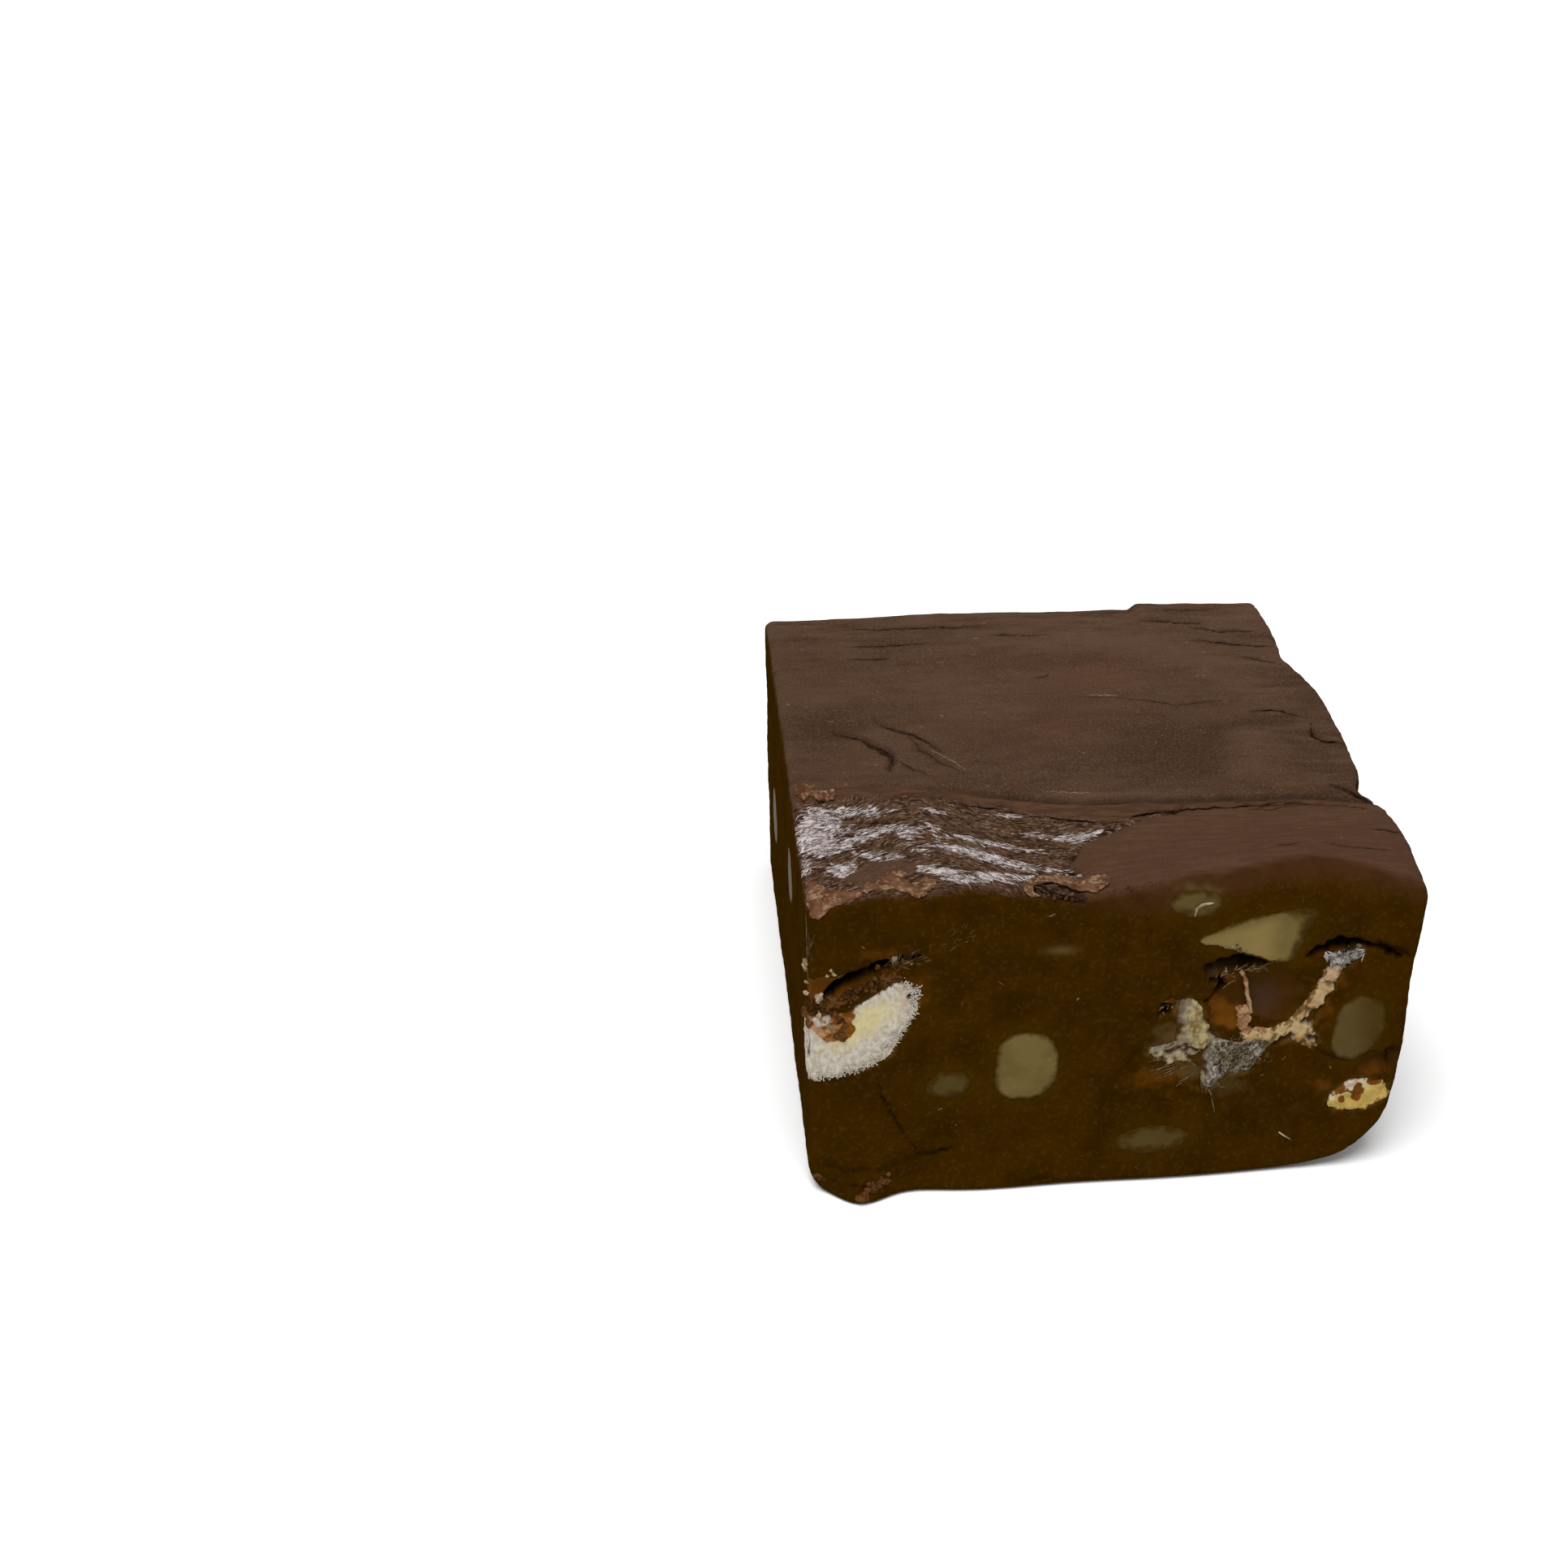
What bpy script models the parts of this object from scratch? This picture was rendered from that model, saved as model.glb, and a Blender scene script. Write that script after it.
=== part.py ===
"""A square-cut block of chocolate rocky-road fudge, with chopped nuts and marshmallows set in it.

Lengths and places are millimetres, and every mesh is scaled to metres when it is made.
X runs to the right along the cut front, Y runs to the back and Z is up. The block is
modelled round its own middle, and one empty carries it to the middle of its bounding box.
"""

import math

import bmesh
import bpy
import numpy as np
from mathutils import Vector

MM = 0.001

# Driving dimensions of the block
WIDTH = 52.6
DEPTH = 58.0
HEIGHT = 29.6
EDGE_RADIUS = 1.0
BASE_INSET = 0.6  # how much further in the right side stands at the base than at the top

# The block's middle to the middle of its bounding box, skirt and lobes included
BOX_SHIFT = (-0.5, 1.3, 0.0)

# Spacing of the mesh lines along X, Y and Z, and the finer one over the fold of the top
CELL_X = 2.6
CELL_Y = 3.2
CELL_Z = 2.6
FOLD_CELL = 1.5
FOLD_FROM = -17.0
FOLD_TO = -8.0

# The fold across the top, where the poured layer ends
FOLD_MIDDLE = -10.9
FOLD_SWING = 2.3
FOLD_TURN_X = -9.0
FOLD_TURN_LENGTH = 6.0
BAND_WIDTH = 1.3
FOLD_GROOVE = 0.55
STRIP_DROP = 0.75
FLAP_RISE = 0.5

# The lip of the top at the back right
LIP_RISE = 0.7
LIP_X = 12.8
LIP_FROM_Y = 19.0

# Height of the front's top edge over the block's height, from left to right
FRONT_EDGE = (
    (-26.0, -0.8), (-21.0, 0.2), (-17.0, 0.0), (-12.5, 0.5), (-7.9, -0.2), (-3.3, -0.8),
    (1.0, 0.0), (5.0, 0.5), (11.0, 0.9), (16.0, 1.0), (21.0, 0.7), (26.0, 0.2),
)

# The foot of the cut front, pressed outwards: place along X, half width, how far it stands out
SKIRT = ((-21.6, 3.2, 2.9), (-12.0, 9.0, 1.8), (5.0, 13.0, 1.2))
SKIRT_HEIGHT = 2.6

# Lobes and notches of the right side: place along Y, half width, how far it stands out
RIGHT_LOBES = ((5.0, 8.0, 1.0), (-12.4, 2.2, -1.3), (-21.0, 6.0, 0.5), (15.5, 2.6, -0.5))

# Wide swells of the top: X, Y, half widths along X and Y, height
TOP_SWELLS = (
    (2.0, 6.0, 15.0, 11.0, 0.45),
    (0.0, 29.0, 15.0, 9.0, 0.45),
    (17.0, -4.0, 4.5, 5.5, 0.45),
    (12.8, -3.0, 2.4, 5.0, -0.35),
    (19.0, 15.0, 8.0, 3.0, 0.3),
    (-20.0, 2.0, 4.0, 4.5, -0.5),
)

# Soft trims of the corners: a point of the plane, its outward direction, softness, how far back they reach
TRIMS = (
    ((23.9, -DEPTH / 2, 3.6), (0.72, 0.0, -0.69), 0.5, 30.0),
    ((20.0, -DEPTH / 2, 0.9), (0.3, 0.0, -0.95), 0.4, 26.0),
    ((25.7, -DEPTH / 2, 29.1), (0.7, 0.0, 0.7), 0.5, 9.0),
    ((-25.2, -DEPTH / 2, 0.6), (-0.7, 0.0, -0.7), 0.3, 60.0),
)
SHOULDER_POINT = (0.0, -28.2, 29.5)
SHOULDER_DIRECTION = (0.0, -0.64, 0.77)
SHOULDER_SOFTNESS = 0.5
SHOULDER_FROM_X = 4.0
SHOULDER_FULL_X = 14.0

# Free play round a piece that is set in the block
GAP = 0.3
STAND_OUT = 1.5  # how far a piece's raw form runs out past the face before it is cut flush
RING_POINTS = 14
BALL_VOXEL = 0.5
BALL_SHARE = 0.18  # of the faces that the melted balls keep

# The faces: a point of each, the direction of u, and the outward direction
FACES = {
    "front": ((0.0, -DEPTH / 2, 0.0), (1.0, 0.0, 0.0), (0.0, -1.0, 0.0)),
    "right": ((WIDTH / 2 - 0.4, 0.0, 0.0), (0.0, 1.0, 0.0), (1.0, 0.0, 0.0)),
    "back": ((0.0, DEPTH / 2, 0.0), (-1.0, 0.0, 0.0), (0.0, 1.0, 0.0)),
    "left": ((-WIDTH / 2 + 0.2, 0.0, 0.0), (0.0, -1.0, 0.0), (-1.0, 0.0, 0.0)),
}

# Nut pieces: the face, the outline in u and z, and how deep the piece goes
NUTS = {
    "nut_round": ("front", ((-9.7, 12.0), (-9.4, 14.6), (-7.4, 15.8), (-4.9, 14.7),
                            (-4.3, 12.4), (-4.9, 10.0), (-6.8, 8.9), (-9.2, 9.4)), 4.0),
    "nut_wedge": ("front", ((7.0, 24.4), (9.7, 25.8), (12.4, 26.6), (16.6, 27.0),
                            (16.1, 24.7), (15.0, 22.0), (12.6, 22.5), (9.2, 23.7)), 3.6),
    "nut_top": ("front", ((4.3, 27.7), (4.6, 28.8), (6.2, 29.2), (8.2, 28.7),
                          (8.4, 27.4), (6.4, 26.7)), 2.4),
    "nut_right": ("front", ((19.6, 13.4), (19.8, 16.6), (21.4, 18.2), (23.6, 17.2),
                            (23.9, 14.4), (22.4, 12.2), (20.4, 11.9)), 3.2),
    "nut_faint": ("front", ((-15.8, 10.4), (-14.6, 11.8), (-12.8, 11.9), (-11.9, 10.8),
                            (-13.0, 9.6), (-15.0, 9.4)), 2.2),
    "nut_low": ("front", ((1.2, 3.9), (2.8, 5.2), (5.8, 5.4), (7.7, 4.4),
                          (6.2, 3.1), (3.0, 2.9)), 2.4),
    "nut_side_front": ("right", ((-13.5, 19.0), (-12.4, 21.8), (-9.8, 22.4), (-8.0, 20.2),
                                 (-9.2, 17.8), (-12.0, 17.2)), 3.2),
    "nut_side_back": ("right", ((14.2, 9.0), (15.6, 12.2), (19.0, 12.6), (20.6, 9.8),
                                (18.8, 7.4), (15.6, 7.0)), 3.4),
    "nut_back_high": ("back", ((-14.4, 19.2), (-13.6, 22.4), (-10.4, 23.6), (-8.2, 21.4),
                               (-9.6, 18.8), (-12.2, 17.6)), 3.4),
    "nut_back_low": ("back", ((6.8, 8.6), (8.2, 11.4), (11.6, 11.8), (13.6, 9.6),
                              (11.8, 7.2), (8.8, 6.6)), 3.2),
    "nut_left_back": ("left", ((-17.8, 12.6), (-16.6, 15.8), (-13.4, 16.4), (-11.6, 14.0),
                               (-13.2, 11.4), (-16.2, 10.8)), 3.2),
    "nut_left_front": ("left", ((6.4, 19.4), (7.6, 22.4), (10.2, 22.8), (11.8, 20.6),
                                (10.4, 18.4), (7.8, 17.8)), 3.0),
}

# Marshmallows: the face, and chains of balls of u, z, depth of the middle, and radius
MARSHMALLOWS = {
    "marshmallow_left": ("front", (
        ((-26.8, 14.6, 0.8, 3.3), (-24.0, 15.2, 0.9, 3.4), (-21.4, 15.6, 0.9, 3.2),
         (-20.0, 17.4, 0.8, 2.7), (-18.3, 19.6, 0.5, 1.75)),
    )),
    "marshmallow_torn": ("front", (
        ((6.6, 17.7, 0.4, 1.15), (7.0, 15.7, 0.5, 1.6), (7.7, 13.6, 0.6, 1.9),
         (9.6, 12.3, 0.8, 2.2), (11.6, 12.2, 0.8, 1.9), (13.0, 13.3, 0.4, 1.1)),
        ((12.3, 14.7, 0.3, 0.9), (14.4, 14.4, 0.3, 1.0), (16.2, 15.1, 0.3, 1.15),
         (17.4, 16.7, 0.3, 1.0), (18.1, 18.6, 0.3, 0.85), (18.8, 20.6, 0.3, 0.8),
         (19.6, 22.0, 0.4, 1.0), (20.8, 22.5, 0.4, 0.8)),
        ((7.6, 13.4, 0.5, 1.6), (5.4, 12.9, 0.4, 1.2), (3.8, 13.3, 0.1, 0.6)),
        ((9.6, 11.6, 0.5, 1.6), (9.2, 10.3, 0.3, 1.1), (8.8, 9.3, 0.1, 0.6)),
        ((16.4, 14.8, 0.3, 1.0), (17.7, 13.9, 0.2, 0.8)),
    )),
    "marshmallow_corner": ("front", (
        ((20.9, 7.3, 0.4, 1.2), (22.4, 7.9, 0.5, 1.95), (24.0, 8.1, 0.9, 1.6),
         (24.9, 8.2, 2.4, 1.5), (24.8, 8.2, 3.6, 1.4)),
    )),
    "marshmallow_back": ("back", (
        ((1.0, 15.6, 0.9, 2.8), (3.6, 16.4, 1.2, 3.0), (6.0, 17.6, 0.9, 2.4)),
    )),
    "marshmallow_side": ("right", (
        ((1.6, 21.4, -0.3, 2.2), (3.4, 21.0, -0.2, 2.5), (5.2, 20.3, -0.2, 2.5),
         (6.8, 19.8, -0.2, 2.0)),
    )),
}
CHAIN_STEPS = 3  # balls from one given ball of a chain to the next

# Torn hollows of the cut front: chains of balls of x, z, depth of the middle, and radius
HOLLOWS = {
    "hollow_left": (
        ((-25.6, 20.9, 0.3, 1.0), (-24.0, 21.0, 0.4, 1.1), (-22.4, 21.4, 0.4, 1.1),
         (-20.8, 22.1, 0.4, 1.0), (-19.3, 22.8, 0.2, 0.8), (-17.8, 23.4, 0.0, 0.6)),
    ),
    "hollow_torn": (
        ((8.4, 21.3, 0.5, 0.8), (10.0, 21.5, 1.0, 1.3), (12.0, 21.6, 0.8, 1.0)),
        ((10.2, 16.9, -0.6, 1.7), (10.6, 19.0, -0.9, 2.4), (13.6, 19.0, -1.6, 3.2),
         (15.2, 17.8, -1.4, 2.4)),
        ((4.6, 17.5, 0.2, 0.8), (5.2, 17.9, 0.2, 0.7)),
    ),
    "hollow_corner": (
        ((22.6, 10.9, -0.2, 0.8), (24.2, 11.2, 0.2, 1.0), (25.7, 11.5, 0.8, 1.3)),
    ),
}

# Looks of the plain solids: colour, roughness
FUDGE_LOOK = ((0.055, 0.028, 0.012, 1.0), 0.62)
NUT_LOOK = ((0.22, 0.16, 0.07, 1.0), 0.55)
MARSHMALLOW_LOOK = ((0.58, 0.5, 0.38, 1.0), 0.8)


def clear_scene():
    for thing in list(bpy.data.objects):
        bpy.data.objects.remove(thing)


def make_material(name, look):
    colour, roughness = look
    material = bpy.data.materials.new(name)
    material.use_nodes = True
    shader = material.node_tree.nodes["Principled BSDF"]
    shader.inputs["Base Color"].default_value = colour
    shader.inputs["Roughness"].default_value = roughness
    shader.inputs["Metallic"].default_value = 0.0
    return material


def smooth_step(start, end, value):
    share = np.clip((value - start) / (end - start), 0.0, 1.0)
    return share * share * (3.0 - 2.0 * share)


def swell(value, middle, half_width):
    return np.exp(-(((value - middle) / half_width) ** 2))


def soft_excess(distance, softness):
    """How far past a plane a point is, eased in over the softness."""
    return softness * np.logaddexp(0.0, distance / softness)


def fold_line(x):
    """Y of the fold across the top, at each x."""
    bend = FOLD_MIDDLE - FOLD_SWING * np.tanh((x - FOLD_TURN_X) / FOLD_TURN_LENGTH)
    return bend - 0.8 * smooth_step(-21.0, -26.0, x) - 0.02 * np.clip(x - 17.0, 0.0, None) ** 2


def band_line(x):
    """Y of the front edge of the rounded band that runs along the fold."""
    return fold_line(x) - BAND_WIDTH - 0.7 * swell(x, 6.0, 4.0)


def flap_edge(y):
    """X of the left edge of the smooth layer that covers the right of the front strip."""
    reach = np.clip((y + 22.5) / 8.4, 0.0, None)
    return -2.3 + 9.7 * reach**2.2


def front_edge(x):
    return np.interp(x, [place for place, _ in FRONT_EDGE], [rise for _, rise in FRONT_EDGE])


def top_relief(x, y):
    """Height of the top over the block's height."""
    fold = fold_line(x)
    band = band_line(x)
    behind = smooth_step(-0.35, 0.35, y - fold)
    rise = np.zeros_like(x)
    for place_x, place_y, half_x, half_y, height in TOP_SWELLS:
        rise += height * swell(x, place_x, half_x) * swell(y, place_y, half_y)
    rise += LIP_RISE * smooth_step(LIP_X - 0.6, LIP_X + 0.6, x) * smooth_step(LIP_FROM_Y, LIP_FROM_Y + 8.0, y)
    toward_edge = smooth_step(-14.0, -DEPTH / 2, y)
    flap = FLAP_RISE * smooth_step(-0.7, 0.7, x - flap_edge(y))
    strip = (flap - STRIP_DROP) * (1.0 - toward_edge) + front_edge(x) * toward_edge
    covered = smooth_step(-0.4, 0.4, y - band)
    front = covered * -0.2 + (1.0 - covered) * strip
    groove = FOLD_GROOVE * swell(y, fold, 0.7)
    return behind * rise + (1.0 - behind) * front - groove


def front_relief(x, z):
    """How far the cut front stands out: the foot pressed outwards, and slow waves of the knife."""
    out = 0.12 * np.sin(0.21 * x + 0.9) * np.sin(0.33 * z + 0.4)
    foot = np.exp(-np.clip(z, 0.0, None) / SKIRT_HEIGHT)
    for place, half_width, reach in SKIRT:
        out = out + reach * foot * swell(x, place, half_width)
    return out


def side_relief(y, z):
    """How far the right side stands out, more so towards the top."""
    out = -BASE_INSET * (1.0 - z / HEIGHT) + 0.15 * np.sin(0.5 * y) * np.sin(0.4 * z)
    upper = smooth_step(0.1 * HEIGHT, 0.75 * HEIGHT, z)
    for place, half_width, reach in RIGHT_LOBES:
        out = out + reach * upper * swell(y, place, half_width)
    return out


def round_edges(points):
    """A flat-sided box's surface points moved onto the same box with rounded edges."""
    low = np.array((-WIDTH / 2, -DEPTH / 2, 0.0)) + EDGE_RADIUS
    high = np.array((WIDTH / 2, DEPTH / 2, HEIGHT)) - EDGE_RADIUS
    core = np.clip(points, low, high)
    away = points - core
    length = np.linalg.norm(away, axis=1, keepdims=True)
    return core + away * EDGE_RADIUS / np.maximum(length, 1e-9)


def shape_block(flat):
    """The block's real form, from the surface points of a plain box."""
    points = round_edges(flat)
    x, y, z = points.T.copy()
    front = smooth_step(-DEPTH / 2 + 2.5, -DEPTH / 2, y)
    right = smooth_step(WIDTH / 2 - 5.0, WIDTH / 2, x)
    left = smooth_step(-WIDTH / 2 + 5.0, -WIDTH / 2, x)
    back = smooth_step(DEPTH / 2 - 4.0, DEPTH / 2, y)
    upper = smooth_step(0.6 * HEIGHT, HEIGHT, z)
    points[:, 0] += right * side_relief(y, z) + left * 0.5 * (1.0 - z / HEIGHT)
    points[:, 1] -= front * front_relief(x, z)
    points[:, 1] += back * 0.25 * np.sin(0.3 * x + 0.6) * np.sin(0.35 * z)
    points[:, 2] += upper * top_relief(x, y)
    for place, direction, softness, reach in TRIMS:
        toward = np.array(direction) / np.linalg.norm(direction)
        share = 1.0 - smooth_step(0.0, reach, points[:, 1] - place[1])
        excess = soft_excess((points - np.array(place)) @ toward, softness)
        points -= (share * excess)[:, None] * toward
    toward = np.array(SHOULDER_DIRECTION) / np.linalg.norm(SHOULDER_DIRECTION)
    share = smooth_step(SHOULDER_FROM_X, SHOULDER_FULL_X, points[:, 0])
    excess = soft_excess((points - np.array(SHOULDER_POINT)) @ toward, SHOULDER_SOFTNESS)
    points -= (share * excess)[:, None] * toward
    points[:, 2] = np.where((flat[:, 2] <= 0.0) & (points[:, 2] < 0.03), 0.0, np.maximum(points[:, 2], 0.0))
    return points


def mesh_lines(start, end, cell):
    """Even steps from start to end, both among them."""
    count = max(1, round((end - start) / cell))
    return [start + (end - start) * step / count for step in range(count + 1)]


def edge_lines(place, inward):
    """The lines that carry the rounding of an edge, from the edge inwards."""
    return [place + inward * EDGE_RADIUS * share for share in (0.45, 1.0)]


def fill_mesh(bm, name):
    mesh = bpy.data.meshes.new(name)
    bmesh.ops.scale(bm, vec=(MM, MM, MM), verts=bm.verts)
    bm.to_mesh(mesh)
    bm.free()
    return mesh


def add_object(name, mesh, material, carrier):
    made = bpy.data.objects.new(name, mesh)
    bpy.context.scene.collection.objects.link(made)
    made.parent = carrier
    if material:
        mesh.materials.append(material)
        mesh.shade_smooth()
        mesh.set_sharp_from_angle(angle=math.radians(40))
    return made


def hide_helper(helper, collection=None):
    helper.hide_render = True
    helper.display_type = "WIRE"
    if collection:
        bpy.context.scene.collection.objects.unlink(helper)
        collection.objects.link(helper)


def block_mesh(name):
    """The whole block without its pockets, on a net of planes across a box."""
    bm = bmesh.new()
    bmesh.ops.create_cube(bm, size=1.0)
    bmesh.ops.scale(bm, vec=(WIDTH, DEPTH, HEIGHT), verts=bm.verts)
    bmesh.ops.translate(bm, vec=(0.0, 0.0, HEIGHT / 2), verts=bm.verts)
    side, end = WIDTH / 2, DEPTH / 2
    lines = {
        0: edge_lines(-side, 1) + mesh_lines(CELL_X - side, side - CELL_X, CELL_X) + edge_lines(side, -1),
        1: edge_lines(-end, 1) + mesh_lines(CELL_Y - end, FOLD_FROM, CELL_Y)
        + mesh_lines(FOLD_FROM + FOLD_CELL, FOLD_TO, FOLD_CELL)
        + mesh_lines(FOLD_TO + CELL_Y, end - CELL_Y, CELL_Y) + edge_lines(end, -1),
        2: edge_lines(0.0, 1) + mesh_lines(CELL_Z, HEIGHT - CELL_Z, CELL_Z) + edge_lines(HEIGHT, -1),
    }
    for axis, places in lines.items():
        direction = Vector((axis == 0, axis == 1, axis == 2))
        for place in places:
            everything = bm.verts[:] + bm.edges[:] + bm.faces[:]
            bmesh.ops.bisect_plane(bm, geom=everything, plane_co=direction * place, plane_no=direction)
    shaped = shape_block(np.array([vert.co for vert in bm.verts]))
    for vert, place in zip(bm.verts, shaped):
        vert.co = place
    bmesh.ops.triangulate(bm, faces=bm.faces[:])
    return fill_mesh(bm, name)


def face_point(face, u, v, depth):
    """The place of u along a face, v up and a depth into the block."""
    origin, along, outward = (np.array(part) for part in FACES[face])
    return origin + along * u + np.array((0.0, 0.0, v)) - outward * depth


def closed_curve(outline, count):
    """A smooth closed curve through an outline's points, and its outward directions."""
    corners = np.array(outline)
    steps = np.arange(count) * len(corners) / count
    index = steps.astype(int)
    share = (steps - index)[:, None]
    before, here, after, beyond = (corners[(index + shift) % len(corners)] for shift in (-1, 0, 1, 2))
    curve = 0.5 * (
        2 * here + (after - before) * share + (2 * before - 5 * here + 4 * after - beyond) * share**2
        + (3 * here - before - 3 * after + beyond) * share**3
    )
    along = np.roll(curve, -1, axis=0) - np.roll(curve, 1, axis=0)
    across = np.stack((along[:, 1], -along[:, 0]), axis=1)
    across /= np.linalg.norm(across, axis=1, keepdims=True)
    centre = curve.mean(axis=0)
    if ((curve - centre) * across).sum() < 0.0:
        across = -across
    return curve, across


def nut_mesh(name, face, outline, depth, grow):
    """A nut piece: its outline at the face, and rings that close towards its inner end."""
    curve, across = closed_curve(outline, RING_POINTS)
    curve = curve + across * grow
    centre = curve.mean(axis=0)
    inner = depth + grow
    levels = ((-STAND_OUT, 1.0), (0.0, 1.0), (0.35, 0.95), (0.65, 0.8), (0.88, 0.5))
    bm = bmesh.new()
    rings = []
    for level, share in levels:
        into = level if level < 0.0 else level * inner
        ring = centre + (curve - centre) * share
        rings.append([bm.verts.new(face_point(face, u, v, into)) for u, v in ring])
    bm.faces.new(rings[0])
    pole = bm.verts.new(face_point(face, centre[0], centre[1], inner))
    for ring, beyond in zip(rings, rings[1:]):
        for step in range(RING_POINTS):
            after = (step + 1) % RING_POINTS
            bm.faces.new((ring[step], ring[after], beyond[after], beyond[step]))
    for step in range(RING_POINTS):
        bm.faces.new((rings[-1][step], rings[-1][(step + 1) % RING_POINTS], pole))
    bmesh.ops.recalc_face_normals(bm, faces=bm.faces[:])
    return fill_mesh(bm, name)


def chained_balls(chains):
    """Every ball of some chains, with more of them in between."""
    balls = []
    for chain in chains:
        stations = np.arange((len(chain) - 1) * CHAIN_STEPS + 1) / CHAIN_STEPS
        balls += [
            [np.interp(station, range(len(chain)), values) for values in zip(*chain)] for station in stations
        ]
    return balls


def ball_mesh(name, face, chains, grow):
    bm = bmesh.new()
    for u, v, depth, radius in chained_balls(chains):
        made = bmesh.ops.create_icosphere(bm, subdivisions=3, radius=radius + grow)
        bmesh.ops.translate(bm, vec=face_point(face, u, v, depth), verts=made["verts"])
    return fill_mesh(bm, name)


def melt_together(thing):
    """One skin over overlapping balls, in few faces."""
    remesh = thing.modifiers.new("melt", "REMESH")
    remesh.mode = "VOXEL"
    remesh.voxel_size = BALL_VOXEL * MM
    fewer = thing.modifiers.new("fewer", "DECIMATE")
    fewer.ratio = BALL_SHARE


def cut_flush(piece, block):
    flush = piece.modifiers.new("cut flush", "BOOLEAN")
    flush.operation = "INTERSECT"
    flush.object = block


def main():
    clear_scene()
    fudge_material = make_material("fudge", FUDGE_LOOK)
    nut_material = make_material("nut", NUT_LOOK)
    marshmallow_material = make_material("marshmallow", MARSHMALLOW_LOOK)

    carrier = bpy.data.objects.new("carrier", None)
    bpy.context.scene.collection.objects.link(carrier)
    carrier.location = Vector(BOX_SHIFT) * MM

    pockets = bpy.data.collections.new("pockets")
    bpy.context.scene.collection.children.link(pockets)
    whole_block = add_object("whole_block", block_mesh("whole_block"), None, carrier)
    hide_helper(whole_block)

    for name, (face, outline, depth) in NUTS.items():
        nut = add_object(name, nut_mesh(name, face, outline, depth, 0.0), nut_material, carrier)
        cut_flush(nut, whole_block)
        pocket_name = name + "_pocket"
        pocket = add_object(pocket_name, nut_mesh(pocket_name, face, outline, depth, GAP), None, carrier)
        hide_helper(pocket, pockets)

    for name, (face, chains) in MARSHMALLOWS.items():
        marshmallow = add_object(name, ball_mesh(name, face, chains, 0.0), marshmallow_material, carrier)
        melt_together(marshmallow)
        cut_flush(marshmallow, whole_block)
        pocket_name = name + "_pocket"
        pocket = add_object(pocket_name, ball_mesh(pocket_name, face, chains, GAP), None, carrier)
        melt_together(pocket)
        hide_helper(pocket, pockets)

    for name, chains in HOLLOWS.items():
        hollow = add_object(name, ball_mesh(name, "front", chains, 0.0), None, carrier)
        melt_together(hollow)
        hide_helper(hollow, pockets)

    fudge = add_object("fudge", block_mesh("fudge"), fudge_material, carrier)
    cut = fudge.modifiers.new("pockets", "BOOLEAN")
    cut.operation = "DIFFERENCE"
    cut.operand_type = "COLLECTION"
    cut.collection = pockets


main()
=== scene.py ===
import math

import bmesh
import bpy
import numpy as np
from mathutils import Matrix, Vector


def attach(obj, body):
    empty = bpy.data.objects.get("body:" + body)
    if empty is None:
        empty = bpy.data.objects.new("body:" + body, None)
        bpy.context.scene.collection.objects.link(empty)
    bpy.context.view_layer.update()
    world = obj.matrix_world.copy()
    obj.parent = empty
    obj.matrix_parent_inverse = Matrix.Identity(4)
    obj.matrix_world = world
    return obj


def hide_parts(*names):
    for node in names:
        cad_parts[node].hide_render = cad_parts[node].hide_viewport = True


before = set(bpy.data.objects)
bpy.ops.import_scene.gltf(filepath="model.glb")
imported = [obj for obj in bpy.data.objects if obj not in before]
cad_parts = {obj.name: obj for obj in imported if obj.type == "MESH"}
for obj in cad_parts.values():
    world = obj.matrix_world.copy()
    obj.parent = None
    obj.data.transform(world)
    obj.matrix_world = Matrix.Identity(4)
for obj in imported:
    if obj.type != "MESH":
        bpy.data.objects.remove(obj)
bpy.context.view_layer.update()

# Lengths and places are millimetres round the block's own middle, as in the solid's source.
MM = 0.001
BOX_SHIFT = np.array((-0.5, 1.3, 0))
WIDTH = 52.6
DEPTH = 58.0
HEIGHT = 29.6
SIDE = WIDTH / 2
END = DEPTH / 2
EDGE_RADIUS = 1.0
BASE_INSET = 0.6
BASE_LIFT = 0.02  # lower places than this lie on the ground

# The fold across the top, the band in front of it, the strip with its flap, and a lip at the back right
FOLD_MIDDLE = -10.9
FOLD_SWING = 2.3
FOLD_TURN_X = -9
FOLD_TURN_LENGTH = 6
FOLD_GROOVE = 0.55
BAND_WIDTH = 1.3
STRIP_DROP = 0.75
FLAP_RISE = 0.5
LIP_RISE = 0.7
LIP_X = 12.8
LIP_FROM_Y = 19
FRONT_EDGE = (
    (-26, -0.8), (-21, 0.2), (-17, 0), (-12.5, 0.5), (-7.9, -0.2), (-3.3, -0.8), (1, 0), (5, 0.5),
    (11, 0.9), (16, 1), (21, 0.7), (26, 0.2),
)
SKIRT = ((-21.6, 3.2, 2.9), (-12, 9, 1.8), (5, 13, 1.2))
SKIRT_HEIGHT = 2.6
RIGHT_LOBES = ((5, 8, 1), (-12.4, 2.2, -1.3), (-21, 6, 0.5), (15.5, 2.6, -0.5))
TOP_SWELLS = (
    (2, 6, 15, 11, 0.45), (0, 29, 15, 9, 0.45), (17, -4, 4.5, 5.5, 0.45), (12.8, -3, 2.4, 5, -0.35),
    (19, 15, 8, 3, 0.3), (-20, 2, 4, 4.5, -0.5),
)

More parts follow.
